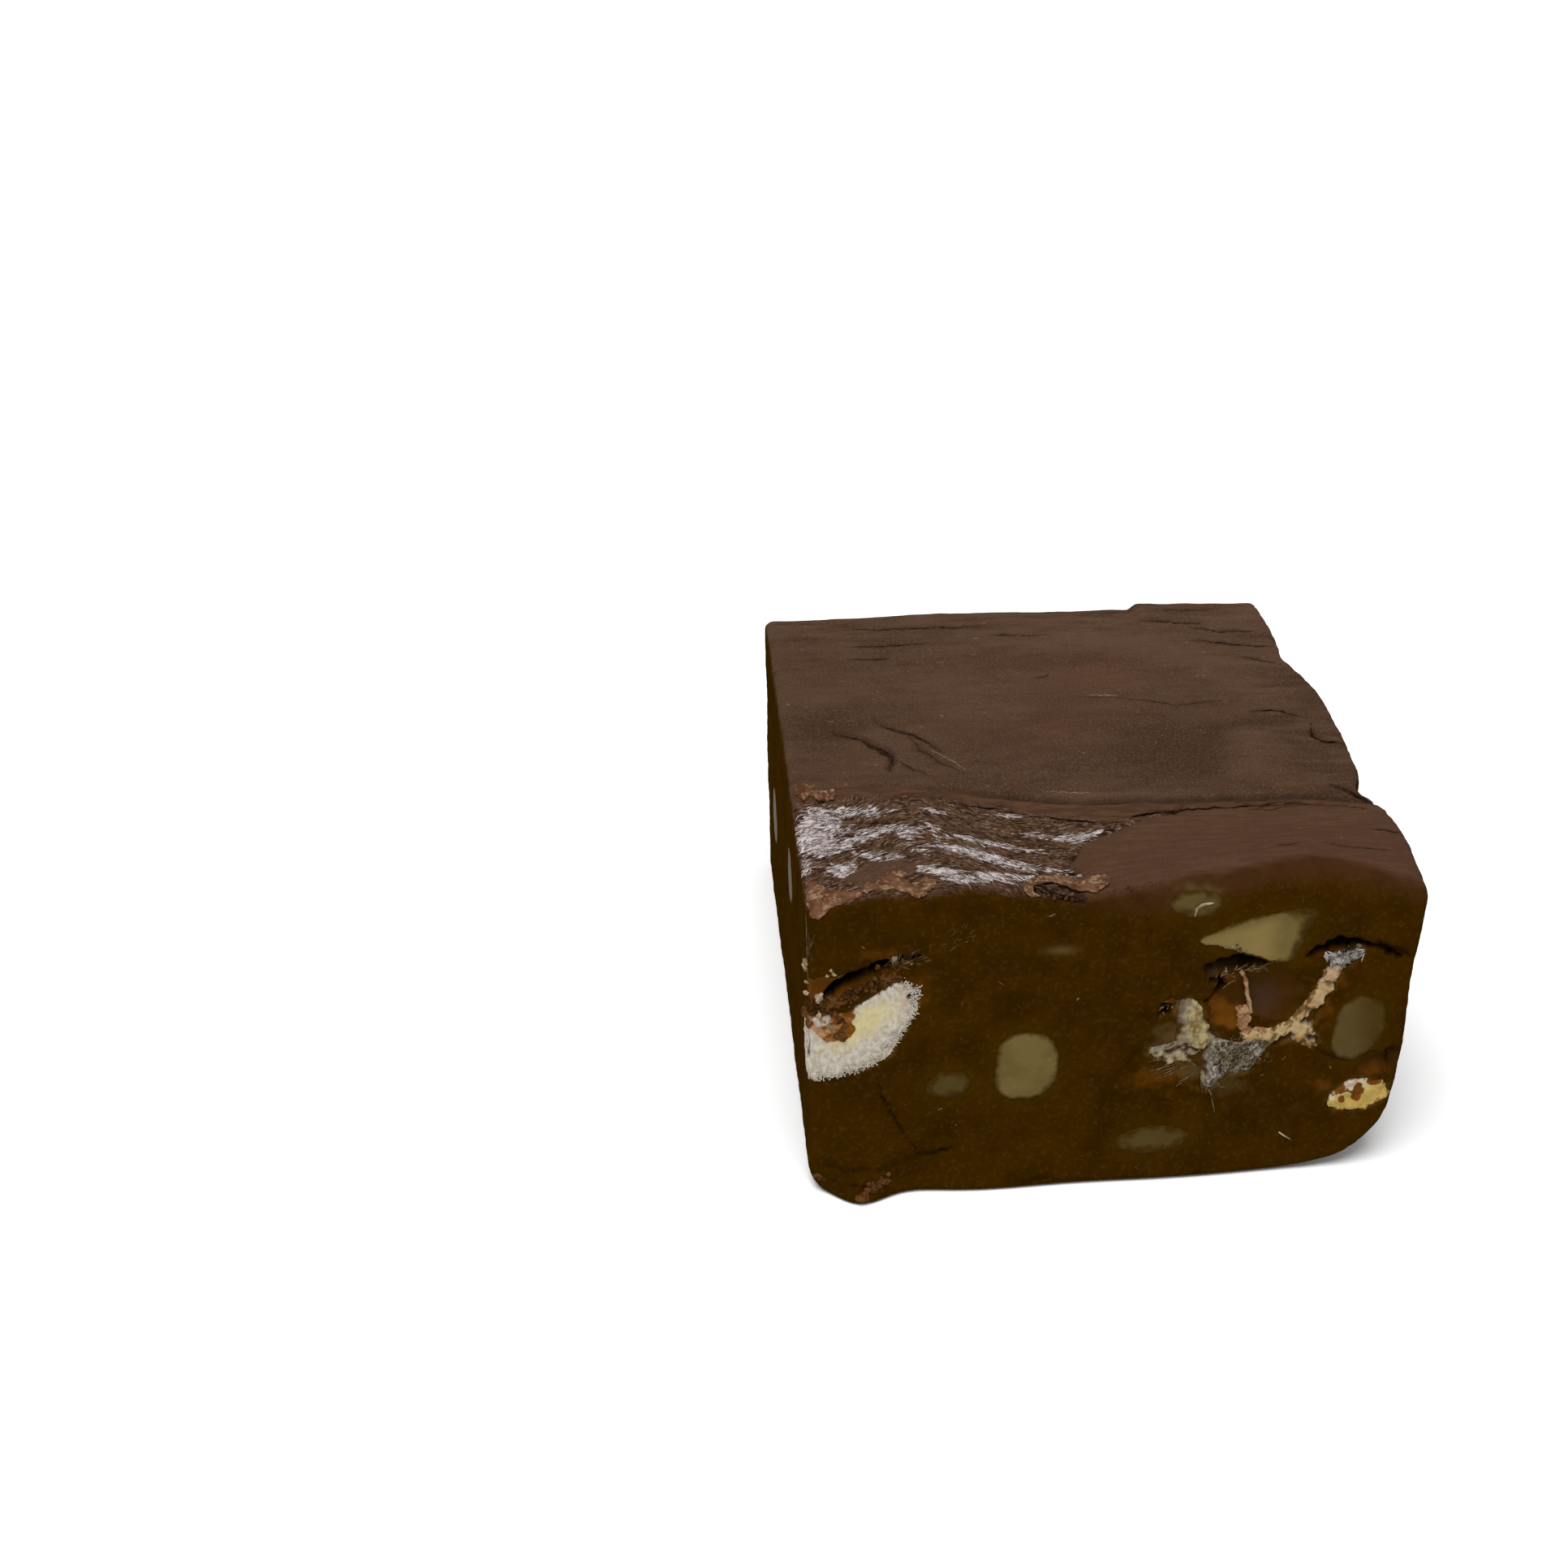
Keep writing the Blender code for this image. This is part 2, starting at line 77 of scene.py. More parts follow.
# Planes that trim the block: a place, the direction out, softness, and how far back from the front
TRIMS = (
    ((23.9, -END, 3.6), (0.72, 0, -0.69), 0.5, 30),
    ((20, -END, 0.9), (0.3, 0, -0.95), 0.4, 26),
    ((25.7, -END, 29.1), (0.7, 0, 0.7), 0.5, 9),
    ((-25.2, -END, 0.6), (-0.7, 0, -0.7), 0.3, 60),
)
SHOULDER = ((0, -28.2, 29.5), (0, -0.64, 0.77), 0.5)
SHOULDER_FROM_X = 4
SHOULDER_FULL_X = 14

# Spacing of the fine mesh's lines: from each place on, one line every so far
LINES_X = ((-SIDE, 0.24), (-15, 0.32), (3, 0.22), (22, 0.27))
LINES_Y = ((-END, 0.24), (-8, 0.28))
LINES_Z = ((0, 0.32), (8, 0.23), (24, 0.28))

# Nut pieces: the face, the outline in u and z, how deep the piece goes, and how much fudge is
# smeared over its cut, from none at 0 to nearly hidden at 1
NUTS = {
    "nut_round": ("front", ((-9.7, 12), (-9.4, 14.6), (-7.4, 15.8), (-4.9, 14.7), (-4.3, 12.4), (-4.9, 10),
     (-6.8, 8.9), (-9.2, 9.4)), 4, 0),
    "nut_wedge": ("front", ((7, 24.4), (9.7, 25.8), (12.4, 26.6), (16.6, 27), (16.1, 24.7), (15, 22),
     (12.6, 22.5), (9.2, 23.7)), 3.6, 0),
    "nut_top": ("front", ((4.3, 27.7), (4.6, 28.8), (6.2, 29.2), (8.2, 28.7), (8.4, 27.4), (6.4, 26.7)),
     2.4, 0.3),
    "nut_right": ("front", ((19.6, 13.4), (19.8, 16.6), (21.4, 18.2), (23.6, 17.2), (23.9, 14.4),
     (22.4, 12.2), (20.4, 11.9)), 3.2, 0.38),
    "nut_faint": ("front", ((-15.8, 10.4), (-14.6, 11.8), (-12.8, 11.9), (-11.9, 10.8), (-13, 9.6),
     (-15, 9.4)), 2.2, 0.62),
    "nut_low": ("front", ((1.2, 3.9), (2.8, 5.2), (5.8, 5.4), (7.7, 4.4), (6.2, 3.1), (3, 2.9)), 2.4, 0.66),
    "nut_side_front": ("right", ((-13.5, 19), (-12.4, 21.8), (-9.8, 22.4), (-8, 20.2), (-9.2, 17.8),
     (-12, 17.2)), 3.2, 0.15),
    "nut_side_back": ("right", ((14.2, 9), (15.6, 12.2), (19, 12.6), (20.6, 9.8), (18.8, 7.4), (15.6, 7)),
     3.4, 0.4),
    "nut_back_high": ("back", ((-14.4, 19.2), (-13.6, 22.4), (-10.4, 23.6), (-8.2, 21.4), (-9.6, 18.8),
     (-12.2, 17.6)), 3.4, 0.1),
    "nut_back_low": ("back", ((6.8, 8.6), (8.2, 11.4), (11.6, 11.8), (13.6, 9.6), (11.8, 7.2), (8.8, 6.6)),
     3.2, 0.45),
    "nut_left_back": ("left", ((-17.8, 12.6), (-16.6, 15.8), (-13.4, 16.4), (-11.6, 14), (-13.2, 11.4),
     (-16.2, 10.8)), 3.2, 0.6),
    "nut_left_front": ("left", ((6.4, 19.4), (7.6, 22.4), (10.2, 22.8), (11.8, 20.6), (10.4, 18.4),
     (7.8, 17.8)), 3, 0.75),
}

# Marshmallows: the face, and chains of balls of u, z, depth of the middle, and radius
MARSHMALLOWS = {
    "marshmallow_left": ("front", (((-26.8, 14.6, 0.8, 3.3), (-24, 15.2, 0.9, 3.4),
     (-21.4, 15.6, 0.9, 3.2), (-20, 17.4, 0.8, 2.7), (-18.3, 19.6, 0.5, 1.75)),)),
    "marshmallow_torn": ("front", (((6.6, 17.7, 0.4, 1.15), (7, 15.7, 0.5, 1.6), (7.7, 13.6, 0.6, 1.9),
     (9.6, 12.3, 0.8, 2.2), (11.6, 12.2, 0.8, 1.9), (13, 13.3, 0.4, 1.1)), ((12.3, 14.7, 0.3, 0.9),
     (14.4, 14.4, 0.3, 1), (16.2, 15.1, 0.3, 1.15), (17.4, 16.7, 0.3, 1), (18.1, 18.6, 0.3, 0.85),
     (18.8, 20.6, 0.3, 0.8), (19.6, 22, 0.4, 1), (20.8, 22.5, 0.4, 0.8)), ((7.6, 13.4, 0.5, 1.6),
     (5.4, 12.9, 0.4, 1.2), (3.8, 13.3, 0.1, 0.6)), ((9.6, 11.6, 0.5, 1.6), (9.2, 10.3, 0.3, 1.1),
     (8.8, 9.3, 0.1, 0.6)), ((16.4, 14.8, 0.3, 1), (17.7, 13.9, 0.2, 0.8)))),
    "marshmallow_corner": ("front", (((20.9, 7.3, 0.4, 1.2), (22.4, 7.9, 0.5, 1.95), (24, 8.1, 0.9, 1.6),
     (24.9, 8.2, 2.4, 1.5), (24.8, 8.2, 3.6, 1.4)),)),
    "marshmallow_back": ("back", (((1, 15.6, 0.9, 2.8), (3.6, 16.4, 1.2, 3), (6, 17.6, 0.9, 2.4)),)),
    "marshmallow_side": ("right", (((1.6, 21.4, -0.3, 2.2), (3.4, 21, -0.2, 2.5), (5.2, 20.3, -0.2, 2.5),
     (6.8, 19.8, -0.2, 2)),)),
}
CHAIN_STEPS = 3  # balls from one given ball of a chain to the next

# Torn hollows of the cut front: chains of balls of x, z, depth of the middle, and radius
HOLLOWS = (
    (((-25.6, 20.9, 0.3, 1), (-24, 21, 0.4, 1.1), (-22.4, 21.4, 0.4, 1.1), (-20.8, 22.1, 0.4, 1),
     (-19.3, 22.8, 0.2, 0.8), (-17.8, 23.4, 0, 0.6)),),
    (((8.4, 21.3, 0.5, 0.8), (10, 21.5, 1, 1.3), (12, 21.6, 0.8, 1)), ((10.2, 16.9, -0.6, 1.7),
     (10.6, 19, -0.9, 2.4), (13.6, 19, -1.6, 3.2), (15.2, 17.8, -1.4, 2.4)), ((4.6, 17.5, 0.2, 0.8),
     (5.2, 17.9, 0.2, 0.7))),
    (((22.6, 10.9, -0.2, 0.8), (24.2, 11.2, 0.2, 1), (25.7, 11.5, 0.8, 1.3)),),
)

# Slots in the hollows, sunk and painted near-black as shadow: the points along each, and the half width
SLOTS = (
    (((-25, 19.6), (-23.2, 20.9), (-21, 22.2), (-18.6, 23.1), (-16.8, 23.8)), 0.6),
    (((7.9, 21.2), (9.2, 21.7), (10.6, 22), (11.8, 21.7), (13, 21.9)), 0.8),
    (((8.2, 20.2), (9.3, 20.3), (9.6, 19.4), (8.8, 18.6), (7.8, 18.2)), 0.3),
    (((4.4, 16.9), (5.3, 17.6)), 0.6),
    (((16.4, 22.3), (17.6, 23.1), (19.2, 23.6), (20.8, 23.5), (22.2, 23)), 0.5),
    (((22, 23.3), (23.2, 22.7), (24.6, 22)), 0.3),
    (((24.6, 11.8), (26.4, 12.2)), 0.35),
)

# The cut faces: a place, the direction of u, and the direction out
FACES = {
    "front": ((0, -END, 0), (1, 0, 0), (0, -1, 0)),
    "right": ((SIDE - 0.4, 0, 0), (0, 1, 0), (1, 0, 0)),
    "back": ((0, END, 0), (-1, 0, 0), (0, 1, 0)),
    "left": ((0.2 - SIDE, 0, 0), (0, -1, 0), (-1, 0, 0)),
}

# Cracks: the points along each, depth, half width, how much the far side stands over the near one
TOP_CRACKS = (
    (((2.4, 7.1), (7.9, 6.5), (12.4, 5.1), (16.5, 5.9), (20.2, 5.9)), 0.14, 0.2, 0.35),
    (((-21.7, 3), (-18.8, 1.1), (-16.2, -3.3), (-16.9, -6.4)), 0.95, 0.5, 0.2),
    (((-17.4, 4.2), (-15.9, 2.6), (-14.1, 1.1), (-12.3, -1.5), (-11.6, -3.4)), 0.45, 0.35, 0.15),
    (((-14.7, 1.4), (-13.5, -2.5), (-12.1, -4.9), (-10, -7.4)), 0.2, 0.4, 0.12),
    (((-16.4, -4), (-15.4, -5.4), (-13, -8)), 0.2, 0.35, 0.1),
    (((22.4, -11.6), (23.6, -12.2), (24.6, -13.4), (25.6, -14.6)), 0.9, 0.45, 0.2),
    (((-21.9, -13.4), (-21.2, -13.9)), 0.5, 0.5, 0),
    (((-21.5, -15.1), (-20.9, -15.8)), 0.5, 0.45, 0),
    (((-21.4, -17), (-20.6, -17.4)), 0.5, 0.5, 0),
    (((-23, -16.8), (-22.4, -17.2)), 0.4, 0.4, 0),
    (((-22.6, -11.5), (-22.2, -11.9)), 0.4, 0.35, 0),
    (((-22, -15.3), (-20.6, -14.8), (-18.1, -14.9), (-15.4, -15.5)), 0.25, 0.2, 0),
    (((0.4, -18.3), (2.2, -18.4)), 0.5, 0.4, 0),
    (((-3.5, -24), (-3, -25.4)), 0.6, 0.5, 0),
    (((-7.3, -27.9), (-5.8, -27.4), (-4.6, -27.9), (-3.3, -28.6)), 1.3, 1.1, 0),
    (((-18.6, 25.4), (-13.1, 25.4), (-3.1, 24.7)), 0.45, 0.25, 0.2),
    (((-3.6, 22.7), (-1.6, 22.5), (2.7, 22.2)), 0.3, 0.2, 0.15),
    (((-18.4, 21.2), (-15, 21.3), (-10.1, 21.4)), 0.45, 0.25, 0.15),
    (((-18.4, 18.2), (-17.4, 18.1), (-14, 17.9)), 0.4, 0.25, 0.1),
    (((-0.4, 12), (0.8, 12.5), (1.2, 12.9)), 0.4, 0.25, 0),
    (((17.6, 23), (20.6, 22.2), (24.6, 22)), 0.4, 0.22, 0.2),
    (((12.9, 24.4), (16, 24.2), (19.6, 23.3)), 0.4, 0.25, 0.25),
    (((17, 20.7), (21, 19.6), (25.6, 18.2)), 0.4, 0.25, 0.25),
    (((14.4, 27), (18, 26.5), (22, 26.8)), 0.25, 0.2, 0.1),
    (((21.4, 15.8), (23.4, 14.6), (25.6, 13.6)), 0.35, 0.22, 0.2),
    (((19, 3.4), (20.8, 3.9), (22.4, 3.8), (23.6, 2)), 0.55, 0.3, 0),
    (((24.3, 0.9), (23.9, -1.6), (24.8, -3.3), (26.6, -3.6)), 0.6, 0.3, 0.3),
    (((12.4, -14.2), (15, -14.6), (18, -14.3), (21.6, -14.9)), 0.3, 0.25, -0.15),
    (((14.2, -15.4), (16.6, -15.6), (19, -14.8)), 0.25, 0.22, 0),
    (((18.6, -23.2), (21, -23.6), (24.2, -24.2)), 0.22, 0.18, 0.08),
    (((14, -23.4), (16.6, -23)), 0.2, 0.16, 0.08),
    (((23.8, -19.8), (26.2, -20.8)), 0.3, 0.2, 0.1),
    (((5.4, -15), (7.4, -15.6), (8.6, -14.4)), 0.45, 0.25, 0),
)
FRONT_CRACKS = (
    (((-20.2, 12.3), (-19.7, 10.6), (-18.9, 7.9), (-17.4, 5.2), (-15.9, 3.4)), 0.35, 0.16, 0),
    (((-16.4, 3.3), (-14.2, 4), (-12.5, 4.1)), 0.35, 0.18, 0.12),
    (((-25.2, 3), (-22.6, 2.6), (-20.4, 2.7), (-18, 2.9)), 0.3, 0.2, 0.12),
    (((-24.6, 1.7), (-22, 1.5), (-19.6, 1.6)), 0.35, 0.2, 0.1),
    (((-9.6, 1.3), (-8, 0.9), (-5.2, 0.8), (-1.8, 0.6)), 0.4, 0.22, 0.15),
    (((21.4, 23.2), (22.6, 23.3), (24.2, 22.6), (25.6, 21.9)), 0.55, 0.25, 0.1),
    (((3.2, 13.4), (1.8, 12.2), (0.9, 11)), 0.25, 0.25, 0),
    (((2, 27.4), (2.8, 25.6), (2.5, 24.7), (3.1, 23.6)), 0.12, 0.15, 0.1),
    (((9.4, 20.9), (10.6, 21.2), (12.2, 21)), 0.3, 0.2, 0),
    (((17.6, 13.6), (19.2, 12.4), (21, 11.9), (24, 12.4)), 0.3, 0.25, 0),
)

# White marshmallow smeared over the strip: the points along each streak, half width, strength
SMEARS = (
    (((-24.1, -12.8), (-24.2, -15.6), (-24.7, -19.8)), 2.1, 1.5),
    (((-25.6, -20.5), (-25.9, -23)), 0.6, 0.6),
    (((-23.5, -20.4), (-21.6, -18.6), (-19.5, -16.7), (-18, -16.2), (-16.1, -16.5), (-16.7, -18)), 0.9, 1),
    (((-22.4, -12.4), (-20.4, -12.7), (-18.2, -13.2)), 1.1, 0.75),
    (((-23.4, -23.2), (-22.2, -24.4)), 1.3, 1.2),
    (((-21.2, -20.8), (-19.6, -22), (-18, -21.9)), 1, 0.75),
    (((-14.9, -12.7), (-12.8, -13.4)), 0.4, 0.8),
    (((-9.2, -13.9), (-7, -14.5)), 0.4, 0.6),
    (((-15.2, -14.8), (-14.3, -16), (-14, -20.2)), 0.4, 0.5),
    (((-13.8, -20), (-12, -21.4), (-10.6, -22.2), (-9.2, -23.2), (-7, -24.3)), 0.95, 1.15),
    (((-17, -23.7), (-15.2, -24.7), (-14.2, -25.5), (-13, -27), (-10.5, -26.3), (-8.9, -26), (-7, -25.7)),
     0.75, 1.1),
    (((-3.8, -18.7), (-2, -18.9), (0.9, -18.4)), 0.8, 1.2),
    (((-13.4, -17.8), (-11.2, -18.8), (-9.4, -19.6), (-8, -20.4)), 0.6, 0.9),
    (((-7.6, -20.6), (-4.8, -21.3)), 0.4, 0.7),
    (((-6.6, -24.2), (-3.4, -24.6)), 0.28, 0.8),
    (((-4.2, -25.2), (-2.9, -25.4)), 0.35, 0.9),
    (((-7, -17.6), (-4.6, -18.2)), 0.4, 0.7),
    (((-16.6, -19.4), (-14.8, -21.4)), 0.9, 0.5),
)
BARE_PATCH = ((-21.2, -25.6), (-19.4, -24), (-17.6, -23.6))


def ramp(start, end, value):
    """A smooth change from 0 at the start to 1 at the end."""
    share = np.clip((value - start) / (end - start), 0, 1)
    return share * share * (3 - 2 * share)


def swell(value, middle, half_width):
    return np.exp(-(((value - middle) / half_width) ** 2))


def oval(u, v, middle_u, middle_v, half_u, half_v):
    """How far out each place is, 1 on the oval."""
    return np.hypot((u - middle_u) / half_u, (v - middle_v) / half_v)


def at(line, x):
    """The second coordinate of a line of straight runs where its first is x."""
    return np.interp(x, *np.transpose(line))


# Noise

NOISE_TABLE = 1024


def make_noise(seed):
    """A function of points and a grain size in mm that gives smooth noise from about -1 to 1."""
    draw = np.random.default_rng(seed)
    order = draw.permutation(NOISE_TABLE)
    slopes = draw.normal(size=(NOISE_TABLE, 3))
    slopes /= np.linalg.norm(slopes, axis=1, keepdims=True)

    def single(points):
        cell = np.floor(points).astype(np.int64)
        part = points - cell
        ease = part**3 * (part * (part * 6 - 15) + 10)
        total = np.zeros(len(points))
        for corner in np.ndindex(2, 2, 2):
            index = 0
            for place in (cell + corner).T:
                index = order[(index + place) % NOISE_TABLE]
            value = (slopes[index] * (part - corner)).sum(axis=1)
            total += value * np.where(corner, ease, 1 - ease).prod(axis=1)
        return total * 1.6

    def layered(points, grain, octaves=3, stretch=(1, 1, 1)):
        scaled = points / (grain * np.array(stretch))
        total = np.zeros(len(points))
        for octave in range(octaves):
            total += single(scaled * 2.0**octave + 17.3 * octave) * 0.5**octave
        return total

    return layered


noise = make_noise(7)


# Form of the block, as in the solid's source

def fold_line(x):
    bend = FOLD_MIDDLE - FOLD_SWING * np.tanh((x - FOLD_TURN_X) / FOLD_TURN_LENGTH)
    return bend - 0.8 * ramp(-21, -26, x) - 0.02 * np.clip(x - 17, 0, None) ** 2


def flap_edge(y):
    return -2.3 + 9.7 * np.clip((y + 22.5) / 8.4, 0, None) ** 2.2


def top_relief(x, y):
    fold = fold_line(x)
    band = fold - BAND_WIDTH - 0.7 * swell(x, 6, 4)
    behind = ramp(-0.35, 0.35, y - fold)
    rise = np.zeros_like(x)
    for place_x, place_y, half_x, half_y, height in TOP_SWELLS:
        rise += height * swell(x, place_x, half_x) * swell(y, place_y, half_y)
    rise += LIP_RISE * ramp(LIP_X - 0.6, LIP_X + 0.6, x) * ramp(LIP_FROM_Y, LIP_FROM_Y + 8, y)
    toward_edge = ramp(-14, -END, y)
    flap = FLAP_RISE * ramp(-0.7, 0.7, x - flap_edge(y))
    strip = (flap - STRIP_DROP) * (1 - toward_edge) + at(FRONT_EDGE, x) * toward_edge
    covered = ramp(-0.4, 0.4, y - band)
    front = covered * -0.2 + (1 - covered) * strip
    return behind * rise + (1 - behind) * front - FOLD_GROOVE * swell(y, fold, 0.7)


def front_relief(x, z):
    out = 0.12 * np.sin(0.21 * x + 0.9) * np.sin(0.33 * z + 0.4)
    foot = np.exp(-np.clip(z, 0, None) / SKIRT_HEIGHT)
    for place, half_width, reach in SKIRT:
        out = out + reach * foot * swell(x, place, half_width)
    return out


def side_relief(y, z):
    out = -BASE_INSET * (1 - z / HEIGHT) + 0.15 * np.sin(0.5 * y) * np.sin(0.4 * z)
    upper = ramp(0.1 * HEIGHT, 0.75 * HEIGHT, z)
    for place, half_width, reach in RIGHT_LOBES:
        out = out + reach * upper * swell(y, place, half_width)
    return out


SETTLING = 4  # rounds in which a place asked for is found
UNWARPING = 6


def trim(points, share, place, direction, softness):
    """Points past a plane brought back to it, by a share and softly."""
    toward = np.array(direction) / np.linalg.norm(direction)
    excess = softness * np.logaddexp(0, (points - np.array(place)) @ toward / softness)
    points -= (share * excess)[:, None] * toward


def warp(points):
    """Points in and on the round-edged box moved to where they are in the real block."""
    points = points.copy()
    x, y, z = points.T.copy()
    points[:, 0] += ramp(SIDE - 5, SIDE, x) * side_relief(y, z)
    points[:, 0] += ramp(-SIDE + 5, -SIDE, x) * 0.5 * (1 - z / HEIGHT)
    points[:, 1] -= ramp(-END + 2.5, -END, y) * front_relief(x, z)
    points[:, 1] += ramp(END - 4, END, y) * 0.25 * np.sin(0.3 * x + 0.6) * np.sin(0.35 * z)
    points[:, 2] += ramp(0.6 * HEIGHT, HEIGHT, z) * top_relief(x, y)
    for place, direction, softness, reach in TRIMS:
        trim(points, 1 - ramp(0, reach, points[:, 1] - place[1]), place, direction, softness)
    trim(points, ramp(SHOULDER_FROM_X, SHOULDER_FULL_X, points[:, 0]), *SHOULDER)
    points[:, 2] = np.where(points[:, 2] < BASE_LIFT, 0, points[:, 2])
    return points


def unwarp(points):
    """Points of the real block taken back to where they are in the round-edged box."""
    guess = points.copy()
    for _ in range(UNWARPING):
        guess += points - warp(guess)
    return guess


def rounded_core(points):
    """The nearest places to some points in what is left of the box inside its round edges."""
    low = np.array((-SIDE, -END, 0)) + EDGE_RADIUS
    return np.clip(points, low, np.array((SIDE, END, HEIGHT)) - EDGE_RADIUS)


def round_edges(flat, all_points=True):
    """Points moved onto the box with rounded edges: all of them, or those past it."""
    core = rounded_core(flat)
    away = flat - core
    length = np.linalg.norm(away, axis=1, keepdims=True)
    rounded = core + away * EDGE_RADIUS / np.maximum(length, 1e-9)
    return np.where(all_points | (length > EDGE_RADIUS), rounded, flat)


def face_frame(face):
    return (np.array(part) for part in FACES[face])


def face_point(face, u, v, depth):
    origin, along, outward = face_frame(face)
    u, v, depth = (np.asarray(value, float)[..., None] for value in (u, v, depth))
    return origin + along * u + np.array((0, 0, 1)) * v - outward * depth


def face_uvd(face, points):
    """A point's u, z and depth on a face."""
    origin, along, outward = face_frame(face)
    return points @ along, points[:, 2], (origin - points) @ outward


# Measures on outlines and lines

OUTLINE_STEPS = 64


def closed_curve(outline, count):
    corners = np.array(outline)
    steps = np.arange(count) * len(corners) / count
    index = steps.astype(int)
    share = (steps - index)[:, None]
    before, here, after, beyond = (corners[(index + shift) % len(corners)] for shift in (-1, 0, 1, 2))
    return 0.5 * (
        2 * here + (after - before) * share + (2 * before - 5 * here + 4 * after - beyond) * share**2
        + (3 * here - before - 3 * after + beyond) * share**3
    )


def to_line(u, v, points):
    """Distance to a line of straight runs, the share of its length there, and the side of it."""
    points = np.array(points, float)
    runs = np.linalg.norm(np.diff(points, axis=0), axis=1)
    nearest = np.full(u.shape, np.inf)
    share, side = np.zeros((2, *u.shape))
    passed = 0
    for start, end, run in zip(points, points[1:], runs):
        along = (end - start) / run
        reach = np.clip((u - start[0]) * along[0] + (v - start[1]) * along[1], 0, run)
        off_u = u - start[0] - along[0] * reach
        off_v = v - start[1] - along[1] * reach
        distance = np.hypot(off_u, off_v)
        nearer = distance < nearest
        nearest = np.where(nearer, distance, nearest)
        share = np.where(nearer, (passed + reach) / runs.sum(), share)
        side = np.where(nearer, np.sign(along[0] * off_v - along[1] * off_u), side)
        passed += run
    return nearest, share, side


def off_line(u, v, points):
    return to_line(u, v, points)[0]


def inside_outline(u, v, outline):
    """How far inside a closed outline each place is, negative outside."""
    curve = closed_curve(outline, OUTLINE_STEPS)
    looped = np.vstack((curve, curve[:1]))
    distance = off_line(u, v, looped)
    inside = np.zeros(u.shape, bool)
    for (u0, v0), (u1, v1) in zip(looped, looped[1:]):
        rise = np.where(v1 == v0, 1e-9, v1 - v0)
        inside ^= ((v0 > v) != (v1 > v)) & (u < (u1 - u0) * (v - v0) / rise + u0)
    return np.where(inside, distance, -distance)


def chained_balls(chains):
    """Every ball of some chains, with more of them in between."""
    balls = []
    for chain in chains:
        stations = np.arange((len(chain) - 1) * CHAIN_STEPS + 1) / CHAIN_STEPS
        balls += [[np.interp(station, range(len(chain)), values) for values in zip(*chain)]
                  for station in stations]
    return balls


def ball_centres(face, chains):
    u, v, depth, radius = np.array(chained_balls(chains)).T
    return face_point(face, u, v, depth), radius


def inside_balls(points, face, chains):
    """How far inside the nearest of some balls each point is."""
    deepest = np.full(len(points), -np.inf)
    for centre, radius in zip(*ball_centres(face, chains)):
        deepest = np.maximum(deepest, radius - np.linalg.norm(points - centre, axis=1))
    return deepest


def crack_relief(u, v, cracks, points):
    """The rise along a set of cracks, and how deep in a crack each place is."""
    rise, dark = np.zeros((2, *u.shape))
    wobble_u = u + 0.3 * noise(points + 31, 1.6, 4)
    wobble_v = v + 0.3 * noise(points + 57, 1.6, 4)
    for line, depth, half_width, step in cracks:
        distance, share, side = to_line(wobble_u, wobble_v, line)
        ends = np.sqrt(np.clip(np.sin(np.pi * np.clip(share, 0.02, 0.98)), 0, 1))
        fade = ends * ramp(3 * half_width + 2.5, 0, distance)
        groove = swell(distance, 0, half_width * (0.35 + 0.4 * ends)) * fade
        rise += -depth * groove + 0.5 * step * side * np.exp(-distance / 1.6) * fade * (1 - groove)
        dark = np.maximum(dark, groove * min(1, depth / 0.35))
    return rise, dark


# Meshes

def raw_mesh(name, points, faces):
    mesh = bpy.data.meshes.new(name)
    mesh.from_pydata(points.tolist(), [], [tuple(map(int, face)) for face in faces])
    mesh.update()
    return mesh


def read(data, key, width, kind=np.float32):
    values = np.empty(len(data) * width, kind)
    data.foreach_get(key, values)
    return values.reshape(-1, width)


def add_piece(name, points, faces, paint, slot, node=None, **values):
    """A piece of the part, with the values at its points that its paint reads."""
    mesh = raw_mesh(name, (points + BOX_SHIFT) * MM, faces)
    for key, value in values.items():
        value = np.asarray(value, np.float32)
        kind, part = ("FLOAT", "value") if value.ndim == 1 else ("FLOAT_VECTOR", "vector")
        mesh.attributes.new(key, kind, "POINT").data.foreach_set(part, value.ravel())
    piece = bpy.data.objects.new(name, mesh)
    bpy.context.scene.collection.objects.link(piece)
    mesh.materials.append(bpy.data.materials[paint + "_paint"])
    mesh.shade_smooth()
    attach(piece, "root")
    if node:
        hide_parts(node)


def melted(points, faces, voxel):
    """The points and faces of one even skin over a closed mesh, or over several that overlap."""
    mesh = raw_mesh("melt", points, faces)
    helper = bpy.data.objects.new("melt", mesh)
    bpy.context.scene.collection.objects.link(helper)
    remesh = helper.modifiers.new("melt", "REMESH")
    remesh.mode = "VOXEL"
    remesh.voxel_size = voxel
    graph = bpy.context.evaluated_depsgraph_get()
    done = helper.evaluated_get(graph).to_mesh()
    points = read(done.vertices, "co", 3).astype(float)
    faces = read(done.loops, "vertex_index", 1, np.int32).reshape(-1, 4)
    helper.evaluated_get(graph).to_mesh_clear()
    bpy.data.objects.remove(helper)
    bpy.data.meshes.remove(mesh)
    return points, faces


def outward_directions(points, faces):
    mesh = raw_mesh("measure", points, faces)
    normals = read(mesh.vertex_normals, "vector", 3).astype(float)
    bpy.data.meshes.remove(mesh)
    return normals


def outward_faces(points, faces):
    """The same faces, all turned to look outwards."""
    bm = bmesh.new()
    verts = [bm.verts.new(point) for point in points]
    for face in faces:
        bm.faces.new([verts[corner] for corner in face])
    bm.verts.index_update()
    bmesh.ops.recalc_face_normals(bm, faces=bm.faces[:])
    turned = [[vert.index for vert in face.verts] for face in bm.faces]
    bm.free()
    return turned


